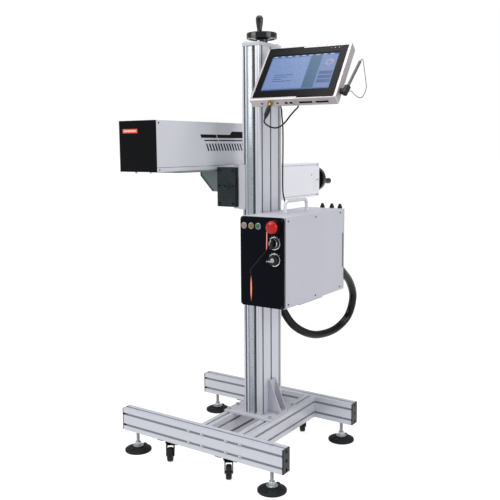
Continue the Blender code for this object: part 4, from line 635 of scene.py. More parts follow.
def foot_piece(name):
    """A levelling foot: ribbed rubber pad with two bolted lugs, zinc flange, nut and threaded stud."""
    low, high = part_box(f"foot_{name}")
    axis = Vector(((low.x + high.x) / 2, (low.y + high.y) / 2, low.z))
    foot = Piece(f"levelling_foot_{name}", BLACK_RUBBER, ZINC, SCREW)
    pad = [(0.0470, 0.0), (0.0475, 0.0008), (0.0475, 0.0052), (0.0468, 0.0062), (0.0300, 0.0135)]
    foot.turned([*pad, (0.0225, 0.0168), (0.0, 0.0170)], axis, UP, 0, 64)
    foot.ring(0.0200, 0.0222, 0.0012, axis + UP * 0.0168, UP, 0, 48)
    for step in range(16):
        turn = Matrix.Translation(axis) @ Matrix.Rotation(math.tau * (step + 0.5) / 16, 4, "Z")
        lean = turn @ Matrix.Translation((0.0365, 0, 0.0104)) @ Matrix.Rotation(math.radians(23.5), 4, "Y")
        foot.box((-0.0080, -0.0007, -0.0006), (0.0080, 0.0007, 0.0007), 0, 0.0003, lean)
    flange = [(0.0186, 0.0), (0.0190, 0.0004), (0.0190, 0.0024), (0.0184, 0.0030), (0.0130, 0.0040)]
    foot.turned([*flange, (0.0, 0.0040)], axis + UP * 0.0170, UP, 1, 48)
    nut = [(0.0098, 0), (0.0109, 0.0008), (0.0109, 0.0108), (0.0098, 0.0118), (0.0066, 0.0118)]
    foot.turned([*nut, (0.0, 0.0118)], axis + UP * 0.0210, UP, 1, 6)
    thread = [(0.0052, 0.0)]
    for ridge in range(57):
        start = 0.0004 + ridge * 0.00173
        steps = ((0.0052, 0.0), (0.0060, 0.0007), (0.0060, 0.0009), (0.0052, 0.0016))
        thread += [(radius, start + rise) for radius, rise in steps]
    foot.turned([*thread, (0.0045, 0.0990)], axis + UP * 0.0328, UP, 1, 24)
    for side in (-1, 1):
        lug = axis + BACK * (side * 0.034)
        foot.turned([(0.0080, 0.002), (0.0080, 0.0118), (0.0070, 0.0128), (0.0, 0.0128)], lug, UP, 0, 24)
        bolt = [(0.0042, 0), (0.0042, 0.0018), (0.0036, 0.0021), (0.0, 0.0021)]
        foot.turned(bolt, lug + UP * 0.0128, UP, 2, 6)
    obj = foot.ride(f"foot_{name}")
    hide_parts(f"foot_{name}")


def dress_casters():
    plates = Piece("caster_plates", BLACK_PAINT, ZINC, RECESS_SHADE)
    nut = [(0.0040, 0), (0.0040, 0.0024), (0.0034, 0.0028), (0.0, 0.0028)]
    for front, x in product(RAIL_FRONTS, (0.208, 0.458)):
        middle = front + RAIL_MIDDLE
        for left, right in ((x - 0.045, x - 0.0195), (x + 0.0195, x + 0.045)):
            plates.box(at(left, middle - 0.019, 0.0700), at(right, middle + 0.019, 0.0728), 0, 0.0006)
        for dx in (-0.036, 0.036):
            for dy in (-0.012, 0.012):
                plates.turned(nut, at(x + dx, middle + dy, 0.0700), DOWN, 1, 6)
    plates.ride("stand")
    for corner in CORNERS:
        low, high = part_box(f"caster_wheel_{corner}")
        centre = (low + high) / 2
        body = NODES[f"caster_wheel_{corner}"]["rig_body"]
        axle = Matrix.Rotation(math.radians(34), 3, "Z") @ RIGHT
        hub = Piece(f"wheel_hub_{corner}", DARK_HUB, ZINC)
        for way in (1, -1):
            place = centre + axle * (way * 0.00865)
            for spoke in range(10):
                turn = Matrix.Translation(place) @ towards(axle * way)
                turn = turn @ Matrix.Rotation(math.tau * spoke / 10, 4, "Z")
                hub.box((0.0126, -0.0006, 0.0), (0.0192, 0.0006, 0.0006), 0, 0.0002, turn)
        hub.ride(body)


# ---------------------------------------------------------------- column, lift and arm


def dress_column():
    ruler = Piece("column_ruler", RULER, INK)
    face = COLUMN_FRONT + 0.0024
    ruler.box(at(0.4216, face, 0.1650), at(0.4414, face + 0.0014, 1.4060), 0, 0.0002)
    for step in range(123):
        z = 0.176 + 0.010 * step
        long = 0.0090 if step % 5 == 0 else 0.0050
        left = 0.4414 - 0.0008 - long
        ruler.box(at(left, face - 0.00012, z - 0.00045), at(0.4406, face - 0.00002, z + 0.00045), 1, 0)
    ruler.ride("stand")
    low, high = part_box("column_top_plate")
    screws = Piece("top_plate_screws", ZINC, RECESS_SHADE)
    for x, y in product((low.x + 0.009, high.x - 0.009), (low.y + 0.010, high.y - 0.010)):
        screws.ring(0.0038, 0.0052, 0.0004, (x, y, high.z + GAP), UP, 0, 24)
        screws.cap_screw(Vector((x, y, high.z + GAP)), UP, 0.0040, 0, 1)
    screws.ride("stand")
    hub = Piece("lift_hub_cap", SCREW, RECESS_SHADE)
    place = at(*LIFT_AXIS, 0.0)
    place.z = high.z + HANDWHEEL_RISE + GAP
    hub.ring(0.0085, 0.0125, 0.0010, place, UP, 0)
    hub.cap_screw(place, UP, 0.0062, 0, 1)
    hub.ride("lift_drive")
    strips = Piece("column_strip_and_slot_shade", STRIP, SLOT_SHADE)
    bottom, top = COLUMN_SLOT_ENDS
    # Dark sheets on the floors of the front and side slots are painted shade; the box at X 0.4684 is a real
    # cover strip
    for middle, half, floor in ((0.4120, 0.0033, 0.2060), (0.4485, 0.0053, 0.2030)):
        low, high = at(middle - half, floor - 0.0004, bottom), at(middle + half, floor - 0.0001, top)
        strips.box(low, high, 1, 0)
    for y in (0.2095, 0.2615, 0.3145):
        strips.box(at(0.4601, y - 0.0047, bottom), at(0.4604, y + 0.0047, top), 1, 0)
    y = COLUMN_FRONT + 0.1205
    strips.box(at(0.4684, y - 0.0037, 0.170), at(0.4704, y + 0.0037, 0.560), 0, 0.0003)
    strips.ride("stand")


def dress_arm():
    plate = Piece("arm_plate_detail", DARK_CAST, SCREW, RECESS_SHADE)
    place = at(ARM_AXIS[0], COLUMN_FRONT, ARM_AXIS[1]) + FRONT * GAP
    profile = [(0.0150, 0), (0.0150, 0.0012), (0.0120, 0.0020), (0.0110, 0.0048), (0.0098, 0.0056)]
    plate.turned([*profile, (0.0, 0.0056)], place, FRONT, 0, 40)
    plate.cap_screw(place + FRONT * 0.0056, FRONT, 0.0042, 1, 2)
    for x, z in product(ARM_SCREWS, (0.8905, 1.0040)):
        spot = at(x, COLUMN_FRONT, z) + FRONT * GAP
        plate.ring(0.0042, 0.0060, 0.0006, spot, FRONT, 0, 28)
        plate.cap_screw(spot, FRONT, 0.0040, 1, 2)
    for x in ARM_SCREWS:
        plate.cap_screw(at(x, COLUMN_FRONT, ARM_AXIS[1]) + FRONT * GAP, FRONT, 0.0032, 1, 2)
    plate.ride("lift")
    side = Piece("arm_side_detail", STICKER, SEAM, SCREW, RECESS_SHADE)
    wall = ARM_SIDE + SKIN
    side.box(at(ARM_SIDE + GAP, 0.730, 0.905), at(wall + 0.0001, 0.758, 0.990), 0, 0)
    for z in (0.8925, 1.0105):
        side.box(at(ARM_SIDE + 0.0001, 0.330, z - 0.0006), at(wall, 0.7740, z + 0.0006), 1, 0)
    # The small dark dot is in the painted recess shade
    side.turned([(0.0028, 0), (0.0028, 0.0002)], at(ARM_SIDE + GAP, 0.7215, 0.9720), RIGHT, 3, 20)
    for z in (0.8925, 0.9510, 1.0105):
        side.cap_screw(at(ARM_SIDE + GAP, 0.7665, z), RIGHT, 0.0026, 2, 3)
    side.ride("lift")
    rear = Piece("arm_rear_detail", SCREW, RECESS_SHADE)
    for x, z in product((0.3020, 0.3638), (0.8925, 1.0105)):
        rear.cap_screw(at(x, ARM_REAR, z) + BACK * GAP, BACK, 0.0040, 0, 1)
    rear.ride("lift")
    hub = Piece("arm_hub_cap", SCREW, RECESS_SHADE)
    hub_place = at(ARM_AXIS[0], ARM_REAR + HANDWHEEL_RISE, ARM_AXIS[1]) + BACK * GAP
    hub.ring(0.0085, 0.0125, 0.0010, hub_place, BACK, 0)
    hub.cap_screw(hub_place, BACK, 0.0062, 0, 1)
    hub.ride("arm_drive")


# ---------------------------------------------------------------- marking head


def dress_head():
    wall = HEAD_SIDE
    # The vent slots are thin dark plates on the wall, painted shade of their openings; the long line at Z
    # 1.019 is a shadow line
    marks = Piece("head_vent_shade", RECESS_SHADE, SEAM)
    frame_on_wall = side_frame(wall + 0.0001, 0.0, 0.0, RIGHT)

    def bar(start, end, low, high, lean=0.0):
        outline = [(start, low), (end, low), (end + lean, high), (start + lean, high)]
        marks.plate(outline, SKIN, frame_on_wall, 0)

    bar(0.1310, 0.2190, 1.1140, 1.1255, -0.0050)
    step = [(0.2230, 1.1140), (0.4000, 1.1140), (0.4000, 1.1370), (0.3080, 1.1370), (0.2950, 1.1255)]
    marks.plate([*step, (0.2180, 1.1255)], SKIN, frame_on_wall, 0)
    bar(0.1490, 0.2260, 1.1035, 1.1075, -0.0020)
    bar(0.2310, 0.4000, 1.1035, 1.1075, -0.0020)
    for slot in range(14):
        start = 0.1680 + slot * 0.0165
        bar(start, start + 0.0075, 1.0700, 1.0950, -0.0120)
    low, high = at(wall + 0.0001, -0.094, 1.0190), at(wall + 0.0002, 0.4995, 1.0202)
    marks.box(low, high, 1, 0)
    marks.ride("head")
    glow = Piece("status_glow", LIT_PALE)
    glow.box(at(0.1475, -0.10265, 1.1318), at(0.2015, -0.10255, 1.1372), 0, 0)
    glow.ride("head")
    screws = Piece("head_screws", SCREW, RECESS_SHADE)
    for y, z in product((-0.084, 0.480), (1.0130, 1.1590)):
        screws.cap_screw(at(wall + GAP, y, z), RIGHT, 0.0022, 0, 1)
        screws.cap_screw(at(HEAD_FAR_SIDE - GAP, y, z), LEFT, 0.0022, 0, 1)
    for x, z in product((0.140, 0.266), (1.018, 1.155)):
        screws.cap_screw(at(x, HEAD_REAR + GAP, z), BACK, 0.0030, 0, 1)
    screws.ride("head")
    rear = Piece("head_rear_fan", BLACK_PLASTIC, RECESS_SHADE, SCREW)
    centre = at(0.203, HEAD_REAR + GAP, 1.088)
    rear.box(centre + Vector((-0.042, 0, -0.042)), centre + Vector((0.042, 0.0022, 0.042)), 0, 0.0008)
    for radius in (0.009, 0.016, 0.023, 0.030, 0.037):
        rear.ring(radius - 0.0012, radius, 0.0014, centre + BACK * 0.0022, BACK, 0, 48)
    # A dark disc behind the grille rings is painted shade between them
    rear.turned([(0.0365, 0), (0.0365, 0.0003)], centre + BACK * 0.0022, BACK, 1, 48)
    rear.turned([(0.006, 0), (0.006, 0.0016), (0.005, 0.0019)], centre + BACK * 0.0022, BACK, 0, 24)
    for dx, dz in product((-0.036, 0.036), (-0.036, 0.036)):
        rear.cap_screw(centre + Vector((dx, 0.0022, dz)), BACK, 0.0026, 2, 1)
    rear.ride("head")
    # The strip along the gusset's slanted edge is painted shade of the same bracket paint
    border = Piece("gusset_edge_shade", BRACKET_EDGE_SHADE)
    wall = side_frame(0.0, 0.213 + GAP, 0.0, FRONT)
    lip = [(0.2076, 0.9985), (0.2076, 0.9840), (0.2596, 0.9300), (0.2680, 0.9300), (0.2150, 0.9880)]
    border.plate([*lip, (0.2150, 0.9985)], SKIN, wall, 0)
    border.ride("head")


# ---------------------------------------------------------------- control box


def dress_panel():
    wall = side_frame(0.0, PANEL_Y - 0.00005, 0.0, FRONT)
    lamp_looks = (LAMP_WHITE, LAMP_YELLOW, LAMP_GREEN)
    lamps = Piece("lamp_lenses", *lamp_looks, ZINC)
    for number, x in enumerate((0.491, 0.5175, 0.544)):
        place = at(x, PANEL_Y - 0.004, 0.836) + FRONT * 0.0001
        lamps.ring(0.0083, 0.0100, 0.0028, at(x, PANEL_Y, 0.836) + FRONT * GAP, FRONT, 3)
        dome = [(0.0079, 0), (0.0079, 0.0006), (0.0070, 0.0014), (0.0050, 0.0021), (0.0, 0.0025)]
        lamps.turned(dome, place, FRONT, number, 32)
    lamps.ride("stand")
    marks = Piece("panel_lights", LIT_RED, LIT_ORANGE, GROOVE, MARK, LIT_PALE)
    upper = [(0.5735, 0.7600), (0.5765, 0.7680), (0.5780, 0.8220), (0.5740, 0.8200), (0.5728, 0.7680)]
    marks.plate(upper, SKIN, wall, 0)
    core = [(0.5744, 0.7680), (0.5758, 0.7680), (0.5768, 0.8180), (0.5752, 0.8170)]
    marks.plate(core, SKIN + 0.0001, wall, 4)
    marks.plate([(0.5690, 0.7570), (0.5705, 0.7570), (0.5145, 0.6960), (0.5130, 0.6960)], 0.0002, wall, 2)
    for half, tall, layer, material in ((0.0032, 0.0430, 0.0, 1), (0.0013, 0.0330, 0.0001, 4)):
        middle = Vector((0.5155, 0.6350))
        spindle = [(0, -tall), (half * 0.8, -tall / 2), (half, 0), (half * 0.8, tall / 2), (0, tall)]
        spindle += [(-half * 0.8, tall / 2), (-half, 0), (-half * 0.8, -tall / 2)]
        outline = [(middle.x + dx, middle.y + dz) for dx, dz in spindle]
        marks.plate(outline, SKIN + layer, wall, material)
    marks.plate([(0.5130, 0.6960), (0.5145, 0.6960), (0.5145, 0.6810), (0.5130, 0.6810)], 0.0002, wall, 2)
    marks.ride("stand")
    rings = Piece("control_rings", CHROME, BLACK_PLASTIC, MARK)
    x = SWITCH_X
    rings.ring(0.0100, 0.0215, 0.0016, at(x, PANEL_Y, STOP_Z) + FRONT * GAP, FRONT, 1, 48)
    rings.ring(0.0105, 0.0150, 0.0034, at(x, PANEL_Y, STOP_Z) + FRONT * 0.0018, FRONT, 1, 40)
    for z in (SELECTOR_Z, KEY_Z):
        rings.ring(0.0181, 0.0208, 0.0022, at(x, PANEL_Y, z) + FRONT * GAP, FRONT, 0, 48)
    for z in (SELECTOR_Z, KEY_Z):
        place = Matrix.Translation(at(x, PANEL_Y - 0.0001, z))
        for angle in (-50, -25, 0, 25, 50):
            turn = place @ Matrix.Rotation(math.radians(angle), 4, "Y")
            rings.box((-0.0004, -0.0002, 0.0218), (0.0004, 0.0, 0.0242), 2, 0, turn)
    rings.ride("stand")
    screws = Piece("panel_screws", SCREW, RECESS_SHADE)
    for sx, sz in product((0.4825, 0.6305), (0.5850, 0.8580)):
        screws.ring(0.0022, 0.0036, 0.0003, at(sx, PANEL_Y, sz) + FRONT * GAP, FRONT, 0, 24)
        screws.cap_screw(at(sx, PANEL_Y, sz) + FRONT * GAP, FRONT, 0.0022, 0, 1)
    screws.ride("stand")


def switch_piece():
    """The upper rotary switch: knurled body with a bright ring, and a grip bar with a white mark."""
    switch = Piece("rotary_switch", BLACK_PLASTIC, CHROME, MARK)
    place = at(SWITCH_X, PANEL_Y, SELECTOR_Z)
    body = [(0.0131, -0.0160), (0.0131, 0.0003), (0.0172, 0.0004), (0.0172, 0.0088), (0.0160, 0.0098)]
    switch.turned([*body, (0.0, 0.0098)], place, FRONT, 0, 40)
    for tooth in range(24):
        turn = Matrix.Translation(place) @ Matrix.Rotation(math.tau * tooth / 24, 4, "Y")
        switch.box((-0.0008, -0.0086, 0.0166), (0.0008, -0.0012, 0.0175), 0, 0.0002, turn)
    switch.ring(0.0128, 0.0150, 0.0005, place + FRONT * 0.0098, FRONT, 1, 40)
    low, high = place + Vector((-0.005, -0.0240, -0.0155)), place + Vector((0.005, -0.0094, 0.0155))
    switch.box(low, high, 0, 0.0018)
    front = place + FRONT * 0.0241
    switch.box(front + Vector((-0.0007, -0.0001, 0.0060)), front + Vector((0.0007, 0.0001, 0.0140)), 2, 0)
    obj = switch.ride("selector_switch")
    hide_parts("selector_switch")


def key_piece():
    """The lower switch: black body, bright lock barrel and a key with a bow and a ring hole in it."""
    switch = Piece("key_lock", BLACK_PLASTIC, CHROME, ZINC)
    place = at(SWITCH_X, PANEL_Y, KEY_Z)
    body = [(0.0123, -0.0160), (0.0123, 0.0003), (0.0163, 0.0004), (0.0165, 0.0110), (0.0150, 0.0138)]
    switch.turned([*body, (0.0, 0.0138)], place, FRONT, 0, 40)
    switch.ring(0.0070, 0.0112, 0.0010, place + FRONT * 0.0138, FRONT, 0, 36)
    switch.turned([(0.0068, 0), (0.0068, 0.0004)], place + FRONT * 0.0139, FRONT, 2, 32)
    low, high = place + Vector((-0.0035, -0.0240, -0.0010)), place + Vector((0.0035, -0.0141, 0.0010))
    switch.box(low, high, 2, 0.0003)
    bow = [(-0.0040, 0), (0.0040, 0), (0.0095, 0.0040), (0.0100, 0.0105), (0.0060, 0.0160)]
    bow += [(0.0024, 0.0166), (0.0024, 0.0120), (-0.0024, 0.0120), (-0.0024, 0.0166)]
    bow += [(-0.0060, 0.0160), (-0.0100, 0.0105), (-0.0095, 0.0040)]
    flat = Matrix((RIGHT, FRONT, DOWN)).transposed().to_4x4()
    flat.translation = place + Vector((0, -0.0232, 0.0014))
    switch.plate(bow, 0.0028, flat, 2)
    obj = switch.ride("key_switch")
    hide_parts("key_switch")


def dress_box():
    side = Piece("box_side_detail", SEAM, BLACK_PLASTIC, SCREW, RECESS_SHADE)
    wall = BOX_SIDE
    side.box(at(wall + 0.0001, 0.0805, 0.5790), at(wall + 0.0003, 0.0835, 0.8640), 1, 0)
    side.box(at(wall + 0.0001, 0.4700, 0.6580), at(wall + 0.0004, 0.4760, 0.7800), 1, 0)
    for y, z in product((0.100, 0.275, 0.452), (0.590, 0.853)):
        side.cap_screw(at(wall + GAP, y, z), RIGHT, 0.0024, 2, 3)
    side.ride("stand")
    rear = Piece("box_rear_detail", BLACK_PLASTIC, ZINC, RECESS_SHADE, SCREW)
    back = BOX_REAR
    for x in (0.544, 0.582, 0.614):
        rear.turned([(0.0050, 0), (0.0050, 0.0170)], at(x, back + GAP, 0.848), BACK, 1, 20)
        barb = [(0.0058, 0), (0.0058, 0.0120), (0.0080, 0.0130), (0.0085, 0.0220), (0.0040, 0.0340)]
        rear.turned([*barb, (0.0, 0.0345)], at(x, back + 0.0115, 0.8465), UP, 0, 24)
    for x, z in product((0.4835, 0.6295), (0.5860, 0.8570)):
        rear.cap_screw(at(x, back + GAP, z), BACK, 0.0030, 3, 2)
    # The nine dark rows are painted shade in the vent slots
    for row in range(9):
        z = 0.700 + row * 0.0090
        rear.box(at(0.500, back + 0.0001, z), at(0.560, back + 0.0004, z + 0.0040), 2, 0)
    rear.box(at(0.585, back + GAP, 0.742), at(0.620, back + 0.0060, 0.790), 0, 0.0012)
    # The dark patch on the small box is painted recess shade
    rear.box(at(0.592, back + 0.0061, 0.752), at(0.613, back + 0.0064, 0.780), 2, 0)
    cap = [(0.0075, 0), (0.0075, 0.0080), (0.0068, 0.0090), (0.0, 0.0090)]
    rear.turned(cap, at(0.622, back + GAP, 0.803), BACK, 0, 28)
    rear.ride("stand")
    feet = Piece("handle_feet", HANDLE)
    for y in (0.214, 0.357):
        place = at(0.5565, y, BOX_TOP + 0.0004)
        feet.ring(0.0063, 0.0105, 0.0022, place, UP, 0, 36)
    feet.ride("stand")


# ---------------------------------------------------------------- display


def panel_on_screen(piece, left, right, low, high, material, layer=0):
    """A flat patch on the screen, one thin layer above the last."""
    front = SCREEN_FRONT - 0.00008 * (layer + 1)
    piece.box((left, front, low), (right, front + 0.00005, high), material, 0, DISPLAY)


def dress_display():
    ui = Piece("screen_page", PAGE_BLUE, PAGE_PALE, PAGE_BAR, PAGE_STRIP, PAGE_LINE, PAGE_WHITE, LIT_RED)
    panel_on_screen(ui, 0.0282, 0.2558, 0.0352, 0.1808, 0)
    panel_on_screen(ui, 0.0282, 0.2558, 0.1735, 0.1808, 2, 1)
    panel_on_screen(ui, 0.0282, 0.2558, 0.0352, 0.0420, 2, 1)
    panel_on_screen(ui, 0.0310, 0.1610, 0.0450, 0.1705, 1, 1)
    panel_on_screen(ui, 0.1640, 0.2010, 0.0430, 0.1725, 3, 1)
    for row in range(4):
        z = 0.1000 - row * 0.0085
        panel_on_screen(ui, 0.0560, 0.1210 - 0.018 * (row % 3), z - 0.0011, z + 0.0011, 4, 2)
    for column in range(9):
        x = 0.0340 + 0.0240 * column
        panel_on_screen(ui, x, x + 0.0130, 0.1755, 0.1785, 5, 2)
        panel_on_screen(ui, x, x + 0.0100, 0.0372, 0.0398, 4, 2)
    for row in range(3):
        z = 0.1010 - row * 0.0170
        panel_on_screen(ui, 0.2070, 0.2520, z - 0.0068, z + 0.0068, 2, 1)
        panel_on_screen(ui, 0.2110, 0.2380 - 0.006 * row, z - 0.0012, z + 0.0012, 4, 2)
    facing = DISPLAY.to_3x3() @ FRONT
    base = DISPLAY @ Vector((0.2320, SCREEN_FRONT - 0.00030, 0.1440))
    ui.ring(0.0130, 0.0138, 0.00006, base, facing, 6, 40)
    ui.ring(0.0100, 0.0112, 0.00006, base, facing, 5, 40)
    hub = DISPLAY @ Matrix.Translation((0.2320, SCREEN_FRONT - 0.00034, 0.1440))
    hand = hub @ Matrix.Rotation(0.7, 4, "Y")
    ui.box((-0.0008, 0, 0.0), (0.0008, 0.00004, 0.0092), 5, 0, hand)
    ui.ride("display")
    down = DISPLAY.to_3x3() @ DOWN
    lights = Piece("display_lights", LED_RED, LED_AMBER, LED_GREEN, SCREW, RECESS_SHADE)
    for number, x in enumerate((0.2240, 0.2365, 0.2496)):
        place = DISPLAY @ Vector((x, -0.00105, 0.1985))
        lights.turned([(0.0023, 0), (0.0021, 0.0004), (0.0, 0.0006)], place, facing, number, 20)
    lights.ride("display")
    tabs = Piece("bezel_tabs", BLACK_GLOSS)
    tabs.box((0.0090, -0.0010, 0.2065), (0.1280, 0.0002, 0.2130), 0, 0.0002, DISPLAY)
    tabs.box((0.1600, -0.0010, 0.0035), (0.2790, 0.0002, 0.0095), 0, 0.0002, DISPLAY)
    tabs.ride("display")
    ports = Piece("display_ports", BRASS, RECESS_SHADE, BLACK_PLASTIC, ZINC)
    middle = PLUG_PLACE[1]
    for x in (0.040, 0.093):
        place = DISPLAY @ Vector((x, middle, -0.0001))
        ports.ring(0.0042, 0.0070, 0.0016, place, down, 3, 32)
        # The dark disc inside each socket ring and the dark patch in each port are painted shade of their
        # openings
        ports.turned([(0.0042, 0), (0.0042, 0.0004)], place, down, 1, 24)
    for left, right in ((0.116, 0.129), (0.132, 0.145), (0.164, 0.210), (0.218, 0.263)):
        ports.box((left, middle - 0.0058, -0.0012), (right, middle + 0.0058, -0.0001), 3, 0.0003, DISPLAY)
        low, high = (left + 0.0015, middle - 0.0042, -0.0014), (right - 0.0015, middle + 0.0042, -0.0011)
        ports.box(low, high, 1, 0, DISPLAY)
    ports.ring(0.0076, 0.0098, 0.0030, DISPLAY @ Vector((*PLUG_PLACE, -0.0002)), down, 0, 6)
    ports.ride("display")
    holder = Piece("stylus_holder", BLACK_PLASTIC)
    axis = DISPLAY.to_3x3() @ (stylus_point(1) - stylus_point(0))
    foot = DISPLAY @ stylus_point(-0.0004)
    holder.ring(0.0086, 0.0098, 0.0268, foot, axis, 0, 36)
    holder.ring(0.0052, 0.0096, 0.0006, DISPLAY @ stylus_point(0.0262), axis, 0, 36)
    holder.turned([(0.0096, 0), (0.0096, 0.0006)], DISPLAY @ stylus_point(-0.0008), axis, 0, 36)
    holder.box((0.2883, 0.0112, 0.0292), (0.2980, 0.0228, 0.0428), 0, 0.0004, DISPLAY)
    holder.ride("display")
    rear = Piece("display_rear_detail", CASE, SCREW, RECESS_SHADE)
    back = DISPLAY.to_3x3() @ BACK
    for x, z in product((0.016, 0.272), (0.016, 0.200)):
        rear.cap_screw(DISPLAY @ Vector((x, 0.0336, z)), back, 0.0028, 1, 2)
    # The dark rows on the back are painted shade of the vent slots
    for row in range(8):
        z = 0.150 + row * 0.0055
        rear.box((0.060, 0.03355, z), (0.228, 0.03380, z + 0.0024), 2, 0, DISPLAY)
    rear.ride("display")


# ---------------------------------------------------------------- cords


def stylus_point(distance):
    """A point on the stylus axis, this far up from its foot, in the display's own frame."""
    return Vector(STYLUS_FOOT) + Vector((math.sin(STYLUS_LEAN), 0, math.cos(STYLUS_LEAN))) * distance


def dress_cords():
    room = [(0.574, 0.5133, 0.640), *HOSE_ROUTE, (0.437, 0.3523, 0.555), (0.437, 0.3523, 0.5997)]
    points = [at(*point) for point in room]
    hose, way = cord_piece("umbilical", "umbilical_hose", points, HOSE_RADIUS, "stand")

    axis = Vector(JOINTS["display_tilt"]["pos_m"])
    start = at(0.500, 0.0, 1.230)
    start.y = axis.y + 0.0103
    points = [start, *[at(*point) for point in DOWN_ROUTE], at(0.486, 0.334, 0.8653)]
    cable, way = cord_piece("down_cable", "display_down_cable", points, CABLE_RADIUS, "stand")

    start, last = (*PLUG_PLACE, -0.0606), Vector(LOOP_ROUTE[-1])
    local = [start, *LOOP_ROUTE, (last.x, 0.0338, last.z)]
    points = [DISPLAY @ Vector(point) for point in local][::-1]
    cable, way = cord_piece("loop_cable", "display_loop_cable", points, CABLE_RADIUS, "display")
    plug = plug_piece()

    top = stylus_point(0.1276)
    last = Vector(TETHER_ROUTE[-1])
    rise = last.z - STYLUS_FOOT[2]
    side = STYLUS_FOOT[0] + rise * math.tan(STYLUS_LEAN) + 0.0085 / math.cos(STYLUS_LEAN) + 0.0006
    local = [top, *TETHER_ROUTE, (side, last.y, last.z)]
    points = [DISPLAY @ Vector(point) for point in local]
    tether, way = cord_piece("tether", "stylus_tether", points, TETHER_RADIUS, None)
    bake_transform(tether)


def plug_piece():
    """The plug under the display: brass collar, knurled black shell and strain relief."""
    plug = Piece("round_plug", BLACK_PLASTIC, BRASS)
    down = DISPLAY.to_3x3() @ DOWN
    base = DISPLAY @ Vector((*PLUG_PLACE, -0.0003))
    plug.turned([(0.0075, 0), (0.0075, 0.0124), (0.0070, 0.0130), (0.0, 0.0130)], base, down, 1, 36)
    shell = [(0.0055, 0.0129), (0.0055, 0.0190), (0.0071, 0.0206)]
    for ridge in range(8):
        start = 0.0214 + ridge * 0.0026
        steps = ((0.0071, 0.0), (0.0075, 0.0004), (0.0075, 0.0016), (0.0071, 0.0020))
        shell += [(radius, start + rise) for radius, rise in steps]
    shell += [(0.0074, 0.0450), (0.0058, 0.0495)]
    for ridge in range(3):
        start = 0.0505 + ridge * 0.0030
        radius = 0.0052 - ridge * 0.0006
        shell += [(radius, start), (radius, start + 0.0014), (radius - 0.0010, start + 0.0018)]
    plug.turned([*shell, (0.0030, 0.0598)], base, down, 0, 36)
    obj = plug.ride("display")
    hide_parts("display_plug")
    return obj


# ---------------------------------------------------------------- floor, light and camera


def floor_look():
    """White to the camera, with a soft shadow on it."""
    look = Look("studio floor")
    tree = look.tree
    path = tree.nodes.new("ShaderNodeLightPath")
    output = tree.nodes["Material Output"]
    diffuse = look.node("BsdfDiffuse", {"Color": (0.30, 0.30, 0.30, 1.0)}, "BSDF")
    glow = look.node("Emission", {"Color": (1.0, 1.0, 1.0, 1.0), "Strength": 0.88}, "Emission")
    seen = look.node("AddShader", {0: diffuse, 1: glow}, 0)
    cloud = look.spread(look.noise(3.0), 0.98, 1.02)
    tone = look.node("VectorMath", {0: (0.62, 0.62, 0.63), "Scale": cloud}, operation="SCALE")
    plain = look.node("BsdfDiffuse", {"Color": tone}, "BSDF")
    clear = path.outputs["Is Camera Ray"]
    for ray in ("Is Glossy Ray", "Is Transmission Ray"):
        clear = look.node("Math", {0: clear, 1: path.outputs[ray]}, operation="MAXIMUM")
    mixed = look.node("MixShader", {0: clear, 1: plain, 2: seen}, 0)
    tree.links.new(mixed, output.inputs["Surface"])
    return look.material


def make_stage():
    """One wide flat floor just under the feet."""
    mesh = bpy.data.meshes.new("floor")
    sides = ((-1, -1), (1, -1), (1, 1), (-1, 1))
    corners = [(x * FLOOR_REACH, y * FLOOR_REACH, -FLOOR_UNDER) for x, y in sides]
    mesh.from_pydata(corners, [], [(0, 1, 2, 3)])
    mesh.materials.append(floor_look())
    floor = bpy.data.objects.new("floor", mesh)
    bpy.context.scene.collection.objects.link(floor)


def area_light(name, place, aim, size, power, colour=(1.0, 1.0, 1.0)):
    data = bpy.data.lights.new(name, "AREA")
    data.shape = "RECTANGLE"
    data.size, data.size_y = size
    data.energy = power
    data.color = colour
    light = bpy.data.objects.new(name, data)
    light.location = place
    light.rotation_euler = (Vector(aim) - Vector(place)).to_track_quat("-Z", "Y").to_euler()
    bpy.context.scene.collection.objects.link(light)


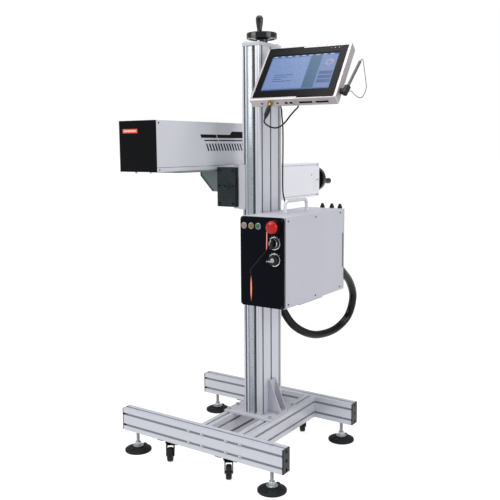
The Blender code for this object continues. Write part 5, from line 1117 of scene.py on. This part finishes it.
def make_light():
    world = bpy.data.worlds.new("studio")
    world.use_nodes = True
    tree = world.node_tree
    soft = tree.nodes["Background"]
    soft.inputs["Color"].default_value = (0.95, 0.97, 1.0, 1.0)
    soft.inputs["Strength"].default_value = 0.56
    white = tree.nodes.new("ShaderNodeBackground")
    white.inputs["Color"].default_value = (1.0, 1.0, 1.0, 1.0)
    path = tree.nodes.new("ShaderNodeLightPath")
    mixed = tree.nodes.new("ShaderNodeMixShader")
    tree.links.new(path.outputs["Is Camera Ray"], mixed.inputs[0])
    tree.links.new(soft.outputs[0], mixed.inputs[1])
    tree.links.new(white.outputs[0], mixed.inputs[2])
    tree.links.new(mixed.outputs[0], tree.nodes["World Output"].inputs["Surface"])
    bpy.context.scene.world = world
    area_light("key", (-1.6, -2.8, 2.6), (0, 0, 0.8), (1.6, 1.6), 50)
    area_light("side", (3.2, -0.2, 1.9), (0, 0, 0.8), (1.4, 2.0), 34)
    area_light("top", (0.2, -0.4, 3.6), (0, 0, 0.6), (2.0, 2.0), 48)


def make_camera():
    east, north = math.sin(CAMERA_AZIMUTH), math.cos(CAMERA_AZIMUTH)
    level = math.cos(CAMERA_PITCH)
    back = Vector((east * level, -north * level, math.sin(CAMERA_PITCH)))
    right = Vector((north, east, 0.0))
    up = back.cross(right)
    across = math.cos(CAMERA_ROLL) * right + math.sin(CAMERA_ROLL) * up
    upright = math.cos(CAMERA_ROLL) * up - math.sin(CAMERA_ROLL) * right
    data = bpy.data.cameras.new("camera")
    data.lens, data.sensor_width = LENS, SENSOR
    data.shift_x, data.shift_y = CAMERA_SHIFT
    camera = bpy.data.objects.new("camera", data)
    turn = Matrix((across, upright, back)).transposed().to_4x4()
    camera.matrix_world = Matrix.Translation(at(*CAMERA_PLACE)) @ turn
    bpy.context.scene.collection.objects.link(camera)
    bpy.context.scene.camera = camera
    bpy.context.scene.view_settings.view_transform = "Standard"


dress_nodes()
dress_rails()
dress_base_plate()
for corner_name in CORNERS:
    foot_piece(corner_name)
dress_casters()
dress_column()
dress_arm()
dress_head()
dress_panel()
switch_piece()
key_piece()
dress_box()
dress_display()
dress_cords()
make_stage()
make_light()
make_camera()
